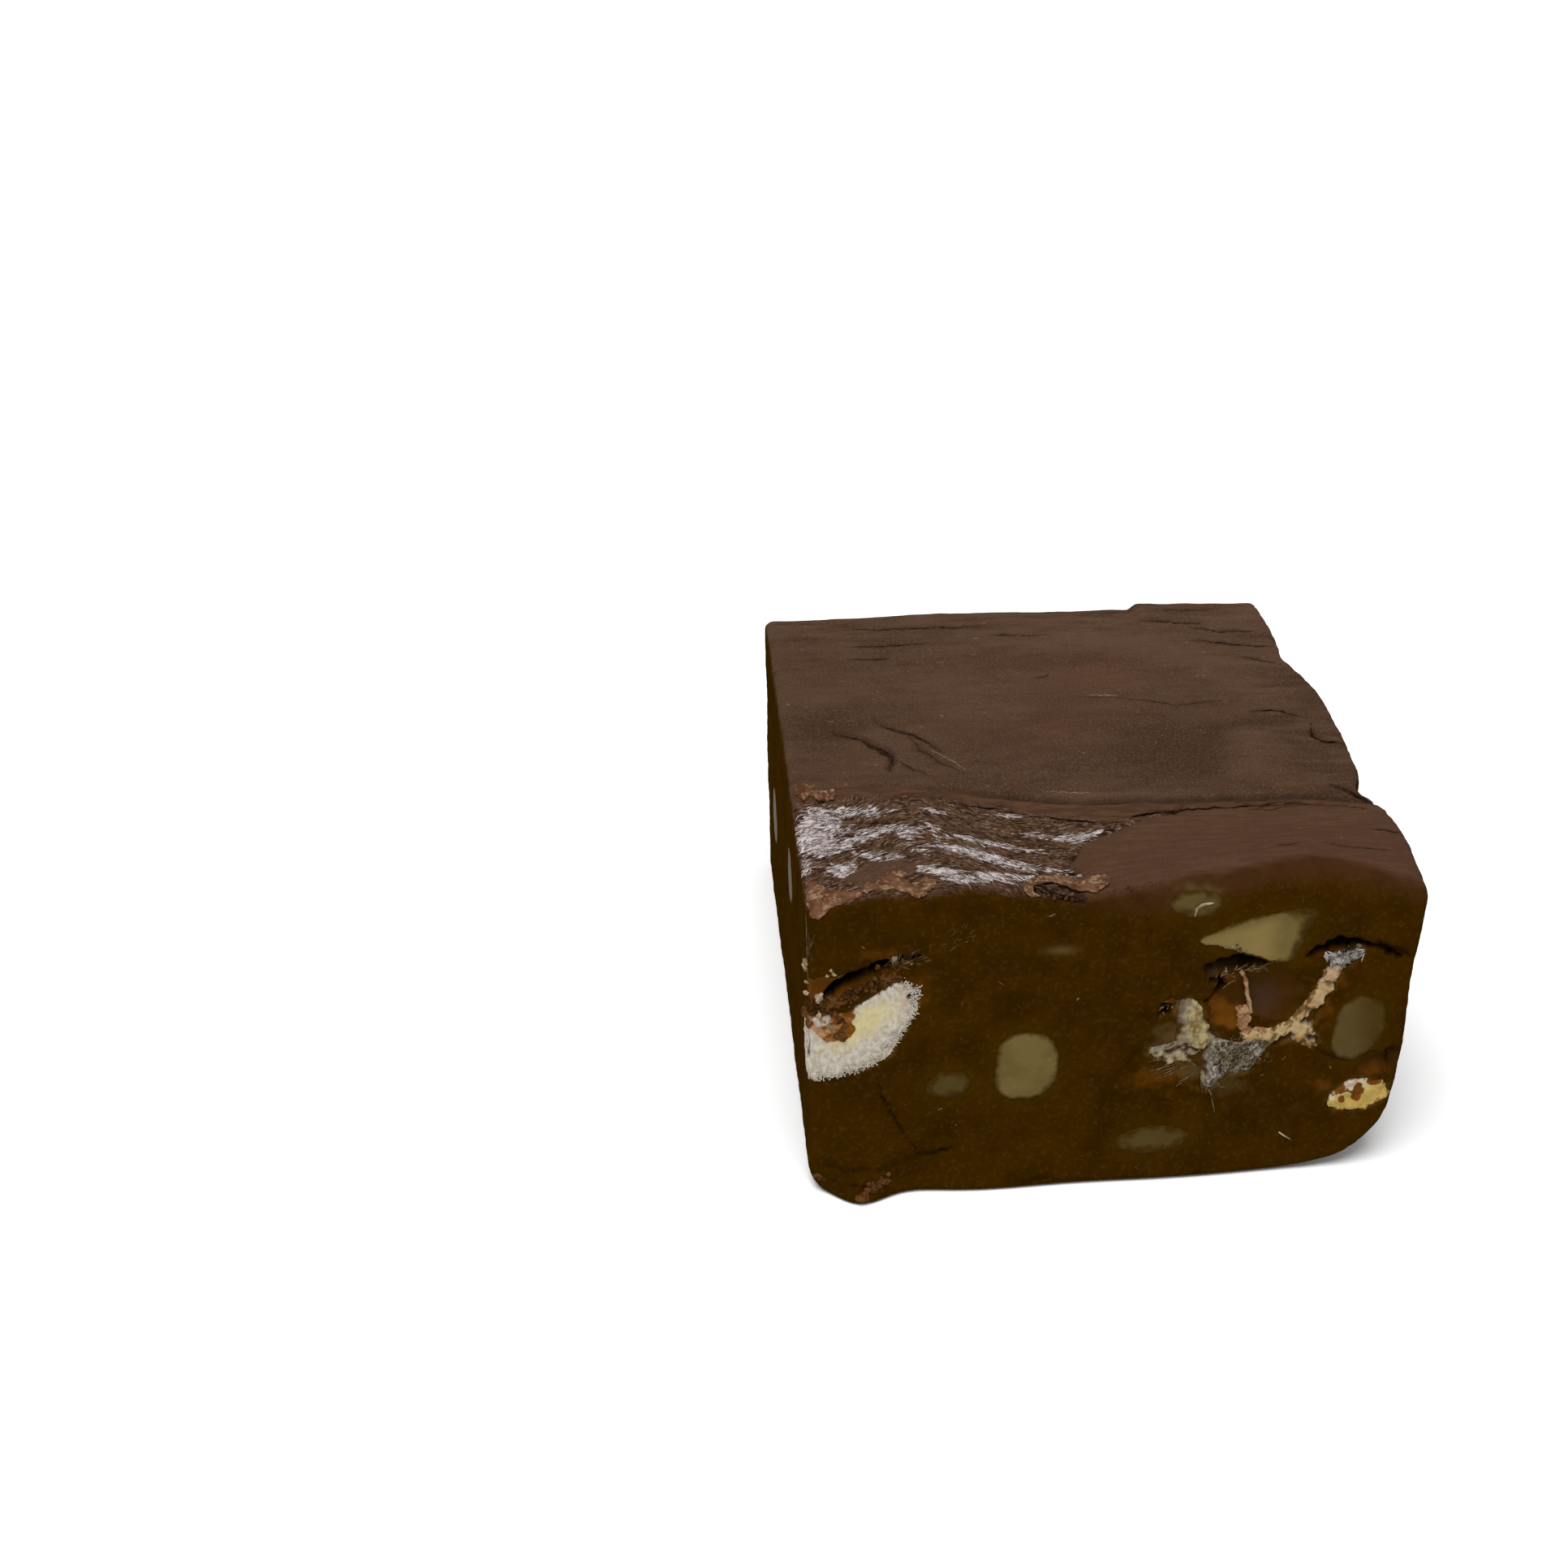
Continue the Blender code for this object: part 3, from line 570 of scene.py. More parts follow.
def unit_ball():
    bm = bmesh.new()
    bmesh.ops.create_icosphere(bm, subdivisions=3, radius=1.0)
    points = np.array([vert.co for vert in bm.verts])
    faces = np.array([[vert.index for vert in face.verts] for face in bm.faces])
    bm.free()
    return points, faces


def joined(groups):
    """The points and faces of many groups of them in one."""
    counts = np.cumsum([0] + [len(points) for points, _ in groups])
    return (np.vstack([points for points, _ in groups]),
            np.vstack([faces + passed for (_, faces), passed in zip(groups, counts)]))


# Places on the block's surface

def on_side(u, v, axes, level, out):
    """Places on a side of the block with two coordinates given, and the directions out of it."""
    wanted = np.column_stack((u, v)).astype(float)
    flat = np.full((len(wanted), 3), level)
    flat[:, axes] = wanted
    for _ in range(SETTLING):
        flat[:, axes] += wanted - warp(round_edges(flat))[:, axes]
    return warp(round_edges(flat)), np.tile(out, (len(wanted), 1))


def on_top(x, y):
    return on_side(x, y, (0, 1), HEIGHT, (0.0, 0.0, 1.0))


def on_front(x, z):
    return on_side(x, z, (0, 2), -END, (0.0, -1.0, 0.0))


def over_edge(x, across):
    """Places on a sheet that bends over the top's front edge: back over the top, or down the front."""
    flat = np.column_stack((x, np.maximum(across, 0) - END, HEIGHT + np.minimum(across, 0)))
    box = round_edges(flat)
    out = box - rounded_core(box)
    return warp(box), out / np.maximum(np.linalg.norm(out, axis=1, keepdims=True), 1e-9)


def along_path(line, count):
    """Even places along a line of straight runs."""
    line = np.array(line, float)
    runs = np.concatenate(([0], np.cumsum(np.linalg.norm(np.diff(line, axis=0), axis=1))))
    reach = np.linspace(0, runs[-1], count)
    return np.column_stack([np.interp(reach, runs, values) for values in line.T])


# The block's own skin

BOX_SIDES = [(axis, end) for axis in range(3) for end in (0, -1)]
COARSE_SIDES = ((0, 0), (0, -1), (1, -1))  # left, right and back
RIM = 5  # lines along a coarse side's edges that stay fine
NEAR_NUT = 3  # how far round a nut its outline is measured
AROUND_FOUR = ((0, 0), (1, 0), (2, 0), (2, 1), (2, 2), (1, 2), (0, 2), (0, 1))
TOP_SKIN_EDGE = (
    (-26, -28.6), (3.4, -28.7), (5.4, -28.2), (8.8, -27.6), (12.4, -26.6), (17.1, -25.6), (21.1, -27.1),
    (25, -28.4),
)
SMEAR_FLOW = ((-27, -1.5), (-22.5, 0), (-17, 3.6), (-14.5, 3.9), (-8, -1.2), (-4, -1.8), (4, -1.4))
# Lines on the top's skin: a ridge painted in highlight, and a valley painted in shade
SHEEN_RIDGE = ((-8.4, 19.5), (0.2, 21.4), (8.5, 20.9), (15.4, 18), (19.8, 12), (21.7, 4.8))
VALLEY = ((11.6, -8.4), (12.4, -4.6), (14.2, -0.8), (17.5, 0.6), (22, 0.9))
FLAP_LINE = (
    (-25.6, -2.9), (-24.5, -3.4), (-23.3, -3.3), (-21.8, -2.4), (-20.6, -1.6), (-19.3, 1), (-18.1, 2.3),
    (-16.6, 5), (-15.5, 8),
)
EDGE_HOLE = ((-6.6, -28), (-5.4, -27.7), (-4.2, -28.1), (-3.2, -28.6))

# Smudges on the cut front: the middle in x and z, half the width and height, strength
SMUDGES = (
    (6.3, 28.9, 2.1, 1.1, 0.6), (5.6, 14.6, 1.9, 1.9, 0.6), (7.6, 11, 2, 1, 0.5), (9, 21, 1.4, 0.5, 0.4),
    (10.6, 9.4, 1.8, 1.2, 0.35),
)
RUST_SMUDGES = (
    (4.8, 10.6, 2.8, 1.5, 0.6), (18.3, 16.6, 1.1, 1.5, 0.6), (19.3, 19.8, 1, 1.2, 0.5),
    (10, 20, 1.2, 0.7, 0.5), (24, 10.6, 1.4, 0.8, 0.5), (19.6, 8.9, 1, 0.9, 0.6),
    (-17, 20.6, 1.2, 1.6, 0.4), (-20, 24.2, 2.4, 0.5, 0.4),
)


def line_places(runs, end):
    """Places of the mesh lines along one axis."""
    places = []
    stops = [start for start, _ in runs[1:]] + [end]
    for (start, spacing), stop in zip(runs, stops):
        count = max(1, round((stop - start) / spacing))
        places.extend(np.linspace(start, stop, count, endpoint=False))
    return np.array(places + [end])


def coarse_end(size):
    """The line at which the coarse part of a side ends."""
    return RIM + (size - 1 - 2 * RIM) // 2 * 2


def net_faces(sheet, coarse):
    """Faces over a sheet of mesh points, on a coarse one a single face for every four inside its rim."""
    plain = np.ones((sheet.shape[0] - 1, sheet.shape[1] - 1), bool)
    faces = []
    if coarse:
        last_row, last_column = map(coarse_end, sheet.shape)
        plain[RIM:last_row, RIM:last_column] = False
        for row in range(RIM, last_row, 2):
            for column in range(RIM, last_column, 2):
                around = [sheet[row + down, column + over] for down, over in AROUND_FOUR]
                faces.append([int(spot) for spot in around if spot >= 0])
    quads = np.stack((sheet[:-1, :-1], sheet[1:, :-1], sheet[1:, 1:], sheet[:-1, 1:]), axis=-1)
    return faces + quads[plain].tolist()


def box_skin(*lines):
    """A box's surface as a net: fine on the front and top, coarser on the sides and back, plain below."""
    grid = np.stack(np.meshgrid(*lines, indexing="ij"), axis=-1)
    used = np.zeros(grid.shape[:3], bool)
    for axis, end in BOX_SIDES:
        np.moveaxis(used, axis, 0)[end] = True
    for axis, end in COARSE_SIDES:
        sheet = np.moveaxis(used, axis, 0)[end]
        last_row, last_column = map(coarse_end, sheet.shape)
        sheet[RIM + 1:last_row:2, RIM + 1:last_column] = False
        sheet[RIM + 1:last_row, RIM + 1:last_column:2] = False
    used[RIM + 1:-RIM - 1, RIM + 1:-RIM - 1, 0] = False
    index = np.full(used.shape, -1)
    index[used] = np.arange(used.sum())
    base = index[RIM:-RIM, RIM:-RIM, 0]
    ring = np.concatenate((base[:-1, 0], base[-1, :-1], base[:0:-1, -1], base[0, :0:-1]))
    inside = set(ring.tolist())
    faces = []
    for axis, end in BOX_SIDES:
        turn = 1 if (end == -1) != (axis == 1) else -1
        for face in net_faces(np.take(index, end, axis=axis), (axis, end) in COARSE_SIDES):
            if min(face) >= 0 and not inside.issuperset(face):
                faces.append(face[::turn])
    return grid[used], faces + [ring[::-1].tolist()]


def nut_depth(points, face, outline):
    """How far inside a nut's outline each point near its face is, far outside elsewhere."""
    u, v, depth = face_uvd(face, points)
    low, high = np.min(outline, axis=0) - NEAR_NUT, np.max(outline, axis=0) + NEAR_NUT
    near = (np.abs(depth) < NEAR_NUT) & (u > low[0]) & (u < high[0]) & (v > low[1]) & (v < high[1])
    field = np.full(len(points), -float(NEAR_NUT))
    field[near] = inside_outline(u[near], v[near], outline)
    return field


def hollow_depth(points):
    """How deep the torn hollows of the front are at each place."""
    x = points[:, 0] + 0.45 * noise(points + 11, 1.3, 3)
    z = points[:, 2] + 0.3 * noise(points + 23, 1.3, 3)
    depth = np.zeros(len(points))
    for chains in HOLLOWS:
        for ball_x, ball_z, middle, radius in chained_balls(chains):
            across = (x - ball_x) ** 2 + (z - ball_z) ** 2
            reach = middle + np.sqrt(np.clip(radius**2 - across, 0, None))
            depth = np.where(across < radius**2, np.maximum(depth, reach), depth)
    return depth


def smear_amount(x, y):
    amount = np.zeros(x.shape)
    for line, half_width, strength in SMEARS:
        distance, share, _ = to_line(x, y, line)
        reach = half_width * (0.55 + 0.45 * np.sin(np.pi * share))
        amount = np.maximum(amount, strength * np.exp(-((distance / reach) ** 3)))
    return amount


def band_edge(x):
    """The lower edge of the band in front of the fold, as the scene shows it."""
    return fold_line(x) - 1.4 - 1.5 * swell(x, 1.5, 6)


def slot_depth(points):
    """How far inside the slots of the front each place is, from 0 to 1; they are sunk and painted in shadow.
    """
    x = points[:, 0] + 0.3 * noise(points + 71, 1.1, 3)
    z = points[:, 2] + 0.22 * noise(points + 73, 0.8, 3)
    inside = np.zeros(len(points))
    for line, half_width in SLOTS:
        distance, share, _ = to_line(x, z, line)
        reach = half_width * (0.3 + 0.75 * np.sin(np.pi * share))
        inside = np.maximum(inside, ramp(1.15, 0.55, distance / reach))
    return inside


def build_fudge():
    lines = [line_places(*axis) for axis in ((LINES_X, SIDE), (LINES_Y, END), (LINES_Z, HEIGHT))]
    flat, faces = box_skin(*lines)
    points = warp(round_edges(flat))
    normals = outward_directions(points, faces)
    x, y, z = points.T
    top = ramp(0.3, 0.7, normals[:, 2])
    front = ramp(0.3, 0.7, -normals[:, 1])

    def rough(offset, *grain):
        return noise(points + offset, *grain)

    def patch(*place):
        return swell(oval(x, y, *place), 0, 1)

    # How near each place is to the nuts and marshmallows
    halo = np.max([nut_depth(points, face, outline) for face, outline, _, _ in NUTS.values()], axis=0)
    rim = np.max([inside_balls(points, *marshmallow) for marshmallow in MARSHMALLOWS.values()], axis=0)

    # Slow waves and fine roughness everywhere, and the crumpled foot
    rise = 0.05 * rough(0, 4, 3, (2.5, 1, 1))
    rise += (1 - top) * (0.04 * rough(3, 1.1, 3) + 0.025 * rough(9, 0.5, 2))
    rise += (1 - top) * (1 - front) * 0.07 * rough(85, 1.6, 3, (1, 1, 7))
    foot = front * ramp(6, 1, z) * (0.3 + 0.7 * swell(x, -21, 6))
    rise += foot * 0.22 * rough(83, 1.1, 3, (2.4, 1, 0.7))
    rise *= 1 - ramp(-0.9, -0.15, halo)

    # The poured top: smooth in the middle, wrinkled at its back and right, with cracks and the fold, painted
    # in shade where they are deep
    fold_distance = y - fold_line(x)
    behind = ramp(-0.3, 0.3, fold_distance)
    wrinkles = rough(77, 1.7, 4, (4.5, 0.7, 1))
    ends = np.maximum(ramp(19, 27, y), ramp(18, 24, x))
    rise += top * behind * (0.012 + 0.1 * ends) * wrinkles
    rise += top * 0.012 * rough(79, 0.6, 2)
    crack_rise, crack_shade = crack_relief(x, y, TOP_CRACKS, points)
    rise += top * crack_rise
    rise += top * 0.2 * ramp(1.3, 0.7, oval(x, y, 17.2, -4.8, 4.2, 5)) * behind
    # Painted shade gathered in dark: in the cracks' depths, along the fold line, beside the flap and in the
    # hole at the front edge
    dark = top * 0.65 * crack_shade
    fold_gap = fold_distance + 0.2 * rough(41, 2.2, 4)
    fold_strength = 0.3 + 0.7 * ramp(-16, -4, x)
    rise += top * 0.3 * swell(fold_gap, 0.3, 0.6) - top * 0.4 * fold_strength * swell(fold_gap, 0, 0.25)
    dark = np.maximum(dark, top * 0.7 * fold_strength * swell(fold_gap, 0, 0.16))
    band_gap = y - band_edge(x) + 0.3 * rough(43, 1.4, 3)
    band = ramp(-0.15, 0.15, band_gap) * (1 - behind)
    rise += top * band * (0.1 * rough(15, 1, 4, (4, 0.7, 1)) + 0.1)
    rise -= top * 0.2 * swell(band_gap, -0.2, 0.22)

    # The front strip: fibrous smeared fudge at the left, a smooth layer over it at the right
    before = 1 - ramp(-0.15, 0.15, band_gap)
    flap_gap = x - at(FLAP_LINE, y) + 0.35 * rough(19, 1.6, 3)
    flap = ramp(-0.2, 0.2, flap_gap)
    upper_left = ramp(28, 28.8, z) * ramp(-25.2, -25.7, x)
    strip = np.maximum(top, upper_left) * before * (1 - flap)
    flow = np.column_stack((x, y - at(SMEAR_FLOW, x) + 0.5 * rough(47, 3, 3), z))
    bare = ramp(1.6, 0.9, off_line(x, y, BARE_PATCH) + 0.4 * rough(60, 1, 3))
    rise += strip * (1 - bare) * 0.1 * noise(flow + 3, 0.6, 3, (3.5, 1, 1))
    rise += top * before * flap * 0.04 * rough(50, 0.9, 4, (4.5, 0.7, 1))
    flap_line = swell(flap_gap, -0.15, 0.2) * before * ramp(-28.5, -26, y) * ramp(-13, -15, y)
    rise -= top * 0.3 * flap_line
    rise += top * 0.3 * (swell(flap_gap, 0.5, 0.35) * before * ramp(-27, -25.6, y) * ramp(-18, -21, y))
    dark = np.maximum(dark, top * 0.45 * flap_line)
    smear = smear_amount(x + 0.5 * rough(61, 1.2, 3), y + 0.4 * rough(63, 1.2, 3))
    smear = strip * smear * (1 - bare)

    # The cut front: hollows torn in it, their slots, sunk and painted in shadow, and cracks
    hollow = front * hollow_depth(points)
    torn = ramp(0.05, 0.3, hollow)
    plum = 0.85 * torn * ramp(1.5, 0, oval(x, z, 13.3, 18.1, 1.4, 1.7) + 0.5 * rough(65, 1.2, 3))
    orange = torn * ramp(18.4, 17.4, z + 0.4 * (x - 9.6) + 0.5 * rough(66, 1, 3)) * ramp(12.4, 11.2, x)
    orange = np.maximum(orange, torn * ramp(-16, -18, x) * ramp(-25.5, -23.5, x))
    slot = front * slot_depth(points)
    rise -= 0.6 * hollow + 0.06 * torn * rough(81, 0.9, 3) + 0.6 * slot
    rise += 0.25 * torn * swell(np.hypot(x - 13.6, 0.7 * (z - 17.8)), 0, 1.8)
    # Cracks of the front, with painted shade in them
    crack_rise, crack_shade = crack_relief(x, z, FRONT_CRACKS, points)
    rise += front * crack_rise
    dark = np.maximum(dark, 0.6 * front * crack_shade)
    # Painted shadow in the hole at the top's front edge
    hole = ramp(0.75, 0.45, off_line(x, y, EDGE_HOLE))
    dark = np.maximum(dark, (1 - flap) * hole * ramp(0.1, 0.4, top))

    # Beds of the nuts and marshmallows
    rise -= 1.1 * ramp(0.12, 0.6, halo)
    rise -= 1.1 * ramp(0, 0.7, rim + 0.12 * rough(91, 0.9, 3))

    points = points + normals * (rise * ramp(0.3, 1.5, z))[:, None]
    points[:, 2] = np.where(flat[:, 2] <= 0, points[:, 2], np.maximum(points[:, 2], BASE_LIFT))

    # Tints: the poured skin and its edge, its painted sheen and shade, its reddish places, and smudges on the
    # cut front
    skin_gap = y - at(TOP_SKIN_EDGE, x) + 0.4 * rough(21, 2, 3)
    skin = top * ramp(-0.5, 0.7, skin_gap)
    blush = (1 - skin) * ramp(-4, -0.4, skin_gap + z - 29.6) * ramp(-8, 4, x) * ramp(-22, -24, y)
    # Painted light on the skin: a highlight along the ridge and towards the back, shading of the wrinkles,
    # painted shade in the valley and left of the cracks, a lit bump, and a highlight just behind the fold,
    # with some random tone
    sheen = 0.42 + 0.004 * y + 0.2 * swell(off_line(x, y, SHEEN_RIDGE), 0, 2.6)
    sheen += 0.08 * wrinkles * (1 + 3 * ends) * behind
    sheen += 0.1 * rough(87, 1.6, 4, (2.2, 1, 1))
    sheen -= 0.4 * swell(off_line(x, y, VALLEY), 0, 1.3)
    sheen -= 0.3 * patch(9.2, -5, 5, 5.5)
    sheen += 0.3 * patch(17.2, -4.8, 3.2, 4)
    sheen -= 0.3 * patch(-21.5, 0.5, 3, 4.5)
    sheen += 0.3 * behind * swell(fold_distance, 0.9, 0.35) * ramp(-4, 1, x) * ramp(9, 4, x)
    red = 1.6 * patch(6.2, 12.4, 3.2, 3.2) + 0.6 * patch(4, 12, 9, 5) + patch(-2, 1, 8, 3)

    def smudged(amount, smudges, wobble):
        for *place, strength in smudges:
            amount = np.maximum(amount, strength * front * ramp(1.3, 0, oval(x, z, *place) + wobble))
        return amount

    ghost = 0.8 * front * swell(oval(x, z, -4.8, 23.9, 1.2, 0.4), 0, 1)
    ghost = smudged(ghost, SMUDGES, 0.6 * rough(64, 0.9, 4))
    orange = smudged(orange, RUST_SMUDGES, 0.7 * rough(68, 1.2, 4))
    add_piece(
        "fudge_form", points, faces, "fudge", "fudge", "fudge", skin=skin, blush=blush, sheen=sheen, red=red,
        strip=strip, bare=bare, smear=smear, band=top * band, flap=top * before * flap, torn=torn,
        orange=orange, plum=plum, deep=slot, ghost=ghost, dark=dark, halo=ramp(-1.8, 0, halo),
        rim=ramp(-0.35, 0.1, rim), left=ramp(0.5, 0.8, -normals[:, 0]), flow=flow,
    )


def tubes(places, outs, radii):
    """Thin four-sided strands, one along each row of places, with their radii at every place."""
    if places.ndim == 2:
        places, outs, radii = places[None], outs[None], radii[None]
    strands, stations, _ = places.shape
    along = np.gradient(places, axis=1)
    along /= np.maximum(np.linalg.norm(along, axis=2, keepdims=True), 1e-9)
    side = np.cross(along, outs)
    side /= np.maximum(np.linalg.norm(side, axis=2, keepdims=True), 1e-9)
    over = np.cross(side, along)
    ring = np.stack((side, over, -side, -over), axis=2)
    points = places[:, :, None, :] + ring * radii[:, :, None, None]
    index = np.arange(strands * stations * 4).reshape(strands, stations, 4)
    after = np.roll(index, -1, axis=2)
    walls = np.stack((index[:, :-1], after[:, :-1], after[:, 1:], index[:, 1:]), axis=-1).reshape(-1, 4)
    caps = np.concatenate((index[:, 0, ::-1], index[:, -1]))
    return points.reshape(-1, 3), np.vstack((walls, caps))


CREASE_STEP = 0.25
WIDEST_CREASED = 0.21  # half width up to which a crack of the front has a dark line of painted shade in it


def crack_places(line, surface):
    """Places along a crack's line, off it by the same small wobble as its groove."""
    length = np.linalg.norm(np.diff(np.array(line), axis=0), axis=1).sum()
    path = along_path(line, max(6, int(length / CREASE_STEP)))
    spots = path
    for _ in range(SETTLING):
        places, _ = surface(*spots.T)
        wobble = [noise(places + offset, 1.6, 4) for offset in (31, 57)]
        spots = path - 0.3 * np.transpose(wobble)
    return surface(*spots.T)


def long_crease(start, end, line, drop, wobble, offset, *grain):
    """Places along a line across the top, off it by the same wobble as its edge."""
    x = np.arange(start, end, CREASE_STEP)
    y = line(x)
    for _ in range(SETTLING):
        places, _ = on_top(x, y)
        y = line(x) - wobble * noise(places + offset, *grain) - drop
    return x, *on_top(x, y)


def build_crease_shades():
    """Painted shade in the depths of the cracks, the fold and the band's lower edge, as fine dark lines sunk
    in them.
    """
    groups = []
    for cracks, surface in ((TOP_CRACKS, on_top), (FRONT_CRACKS, on_front)):
        for line, depth, half_width, _ in cracks:
            if surface is on_front and half_width > WIDEST_CREASED:
                continue
            places, outs = crack_places(line, surface)
            arch = np.sin(np.pi * np.linspace(0, 1, len(places)))
            places = places - outs * (0.3 * depth * arch)[:, None]
            size = min(0.05, 0.08 * depth + 0.04 * half_width) + 0.04 * ramp(0.5, 0.6, depth)
            radii = size * (0.2 + 0.8 * arch) * (0.8 + 0.5 * noise(places + 5, 0.8, 2))
            groups.append(tubes(places, outs, radii))
    x, places, outs = long_crease(-15, 25.4, fold_line, 0, 0.2, 41, 2.2, 4)
    radii = 0.07 * (0.1 + 0.9 * ramp(-8, 8, x)) * (0.85 + 0.7 * noise(places + 5, 1.5, 3))
    groups.append(tubes(places - outs * 0.12, outs, radii))
    x, places, outs = long_crease(-13, 25, band_edge, 0.15, 0.3, 43, 1.4, 3)
    broken = ramp(-0.15, 0.25, noise(places + 45, 3, 2))
    groups.append(tubes(places - outs * 0.06, outs, 0.02 + 0.07 * broken * ramp(-13, -8, x)))
    add_piece("creases", *joined(groups), "crease", "fudge")


# Pieces set in the block

ROUGH_VOXEL = 0.3
NUT_VOXEL = 0.22
MARSHMALLOW_VOXEL = 0.15
FLAKE_VOXEL = 0.1
NUT_RING = 40
NUT_MARGIN = 0.4  # how far a nut's form reaches past its outline, under the fudge
CORNER_BLOTCHES = (
    (22.3, 8.2, 0.85), (20.6, 8.6, 0.75), (23.8, 9.3, 0.6), (22.5, 9.7, 0.35), (21.2, 7.4, 0.3),
)


def nut_form(face, outline, depth):
    """A nut's rough form: its outline at the face, and rings that close towards its inner end."""
    curve = closed_curve(outline, NUT_RING)
    along = np.roll(curve, -1, axis=0) - np.roll(curve, 1, axis=0)
    out = np.column_stack((along[:, 1], -along[:, 0]))
    out /= np.linalg.norm(out, axis=1, keepdims=True)
    turn = np.sign(((curve - curve.mean(axis=0)) * out).sum())
    curve = curve + out * turn * NUT_MARGIN
    centre = curve.mean(axis=0)
    levels = ((-1.5, 1), (0, 1), (0.35 * depth, 0.95), (0.65 * depth, 0.8), (0.88 * depth, 0.5))
    points = []
    for into, share in levels:
        points.extend(face_point(face, *(centre + (curve - centre) * share).T, np.full(NUT_RING, into)))
    pole = len(points)
    points.append(face_point(face, *centre, depth))
    faces = [list(range(NUT_RING))]
    for low in range(0, pole, NUT_RING):
        for step in range(NUT_RING):
            here, after = low + step, low + (step + 1) % NUT_RING
            inner = [here + NUT_RING, after + NUT_RING] if low + NUT_RING < pole else [pole]
            faces.append([after, here, *inner])
    return np.array(points), outward_faces(points, faces)


def set_flush(points, faces, voxel):
    """An inlay's form cut level with the block: its points, where they show, and its faces."""
    points, faces = melted(points, faces, ROUGH_VOXEL)
    points, faces = melted(round_edges(unwarp(points), False), faces, voxel)
    depth = EDGE_RADIUS - np.linalg.norm(points - rounded_core(points), axis=1)
    return warp(points), ramp(0.35, 0.08, depth), faces


def build_nut(name):
    face, outline, depth, smeared = NUTS[name]
    points, shown, faces = set_flush(*nut_form(face, outline, depth), NUT_VOXEL)
    normals = outward_directions(points, faces)
    u, v, _ = face_uvd(face, points)
    edge = inside_outline(u, v, outline) + 0.15 + 0.16 * noise(points + 17, 0.9, 3)
    rise = 0.04 + 0.015 * noise(points + 7, 2, 3) - 0.5 * ramp(0.06, -0.35, edge)
    points = points + normals * (shown * rise)[:, None]
    plain = np.ones(len(points))
    cover, soft, grey, pale = smeared * plain, 0.7, 0.2 * plain, 0 * plain
    if name == "nut_right":
        translucent = ramp(20.6, 23.2, u + 0.2 * (v - 15))
        cover = cover + 0.08 + 0.4 * translucent
        soft = 0.8 + 1.2 * translucent
        grey = 0.7 * (1 - translucent)
    if name == "nut_wedge":
        soft = 0.3 + 2.6 * ramp(13.4, 16.6, u) + 1.2 * ramp(0.4, 2.2, v - 23.6 - 0.35 * (u - 7))
        pale = ramp(14.6, 12.2, u) * ramp(2, 0.6, v - 23 - 0.3 * (u - 7))
    if name in ("nut_faint", "nut_low", "nut_top"):
        soft = 1.5 if name == "nut_top" else 2.2
        grey = 0.7 * plain
    add_piece(
        name + "_form", points, faces, "nut", "nut", name, edge=edge / soft, cover=cover, grey=grey, pale=pale
    )


# The torn marshmallow's veins: the points along each, and how far from it they end and are full
VEINS = (
    (((12.1, 14.4), (13.6, 14.5), (14.9, 15.4), (16.5, 17.2), (17.6, 18.5), (18.3, 19.6), (18.8, 21.4)),
     1.05, 0.8),
    (((15.8, 15.9), (16.8, 15), (18.2, 14.8)), 0.7, 0.5),
    (((16.2, 15.2), (16.8, 13.8), (17.9, 13.1)), 0.75, 0.5),
)

# Other lines on the marshmallows
CREAM_LINE = ((6.2, 18.3), (6.9, 17), (7.4, 15.6), (7.9, 14.4))
FOOT_LINE = ((7.2, 12.6), (6.4, 12.6), (5.4, 12.3), (4.2, 12.4), (3.4, 12.5))
SHEET_LINE = ((7.4, 14.6), (6.2, 14), (5, 13.6), (3.8, 13.2))
STRAND_LINE = ((6.2, 12.8), (7.2, 11.3), (8.4, 10.3), (9, 9.6))
WHITE_PATCH_LINE = ((18.4, 22), (19.8, 22.3), (21.4, 22.8))
STAIN_LINE = ((-26.6, 19.8), (-25.4, 18), (-24.2, 16.6), (-23, 16.8), (-23.2, 18.6))


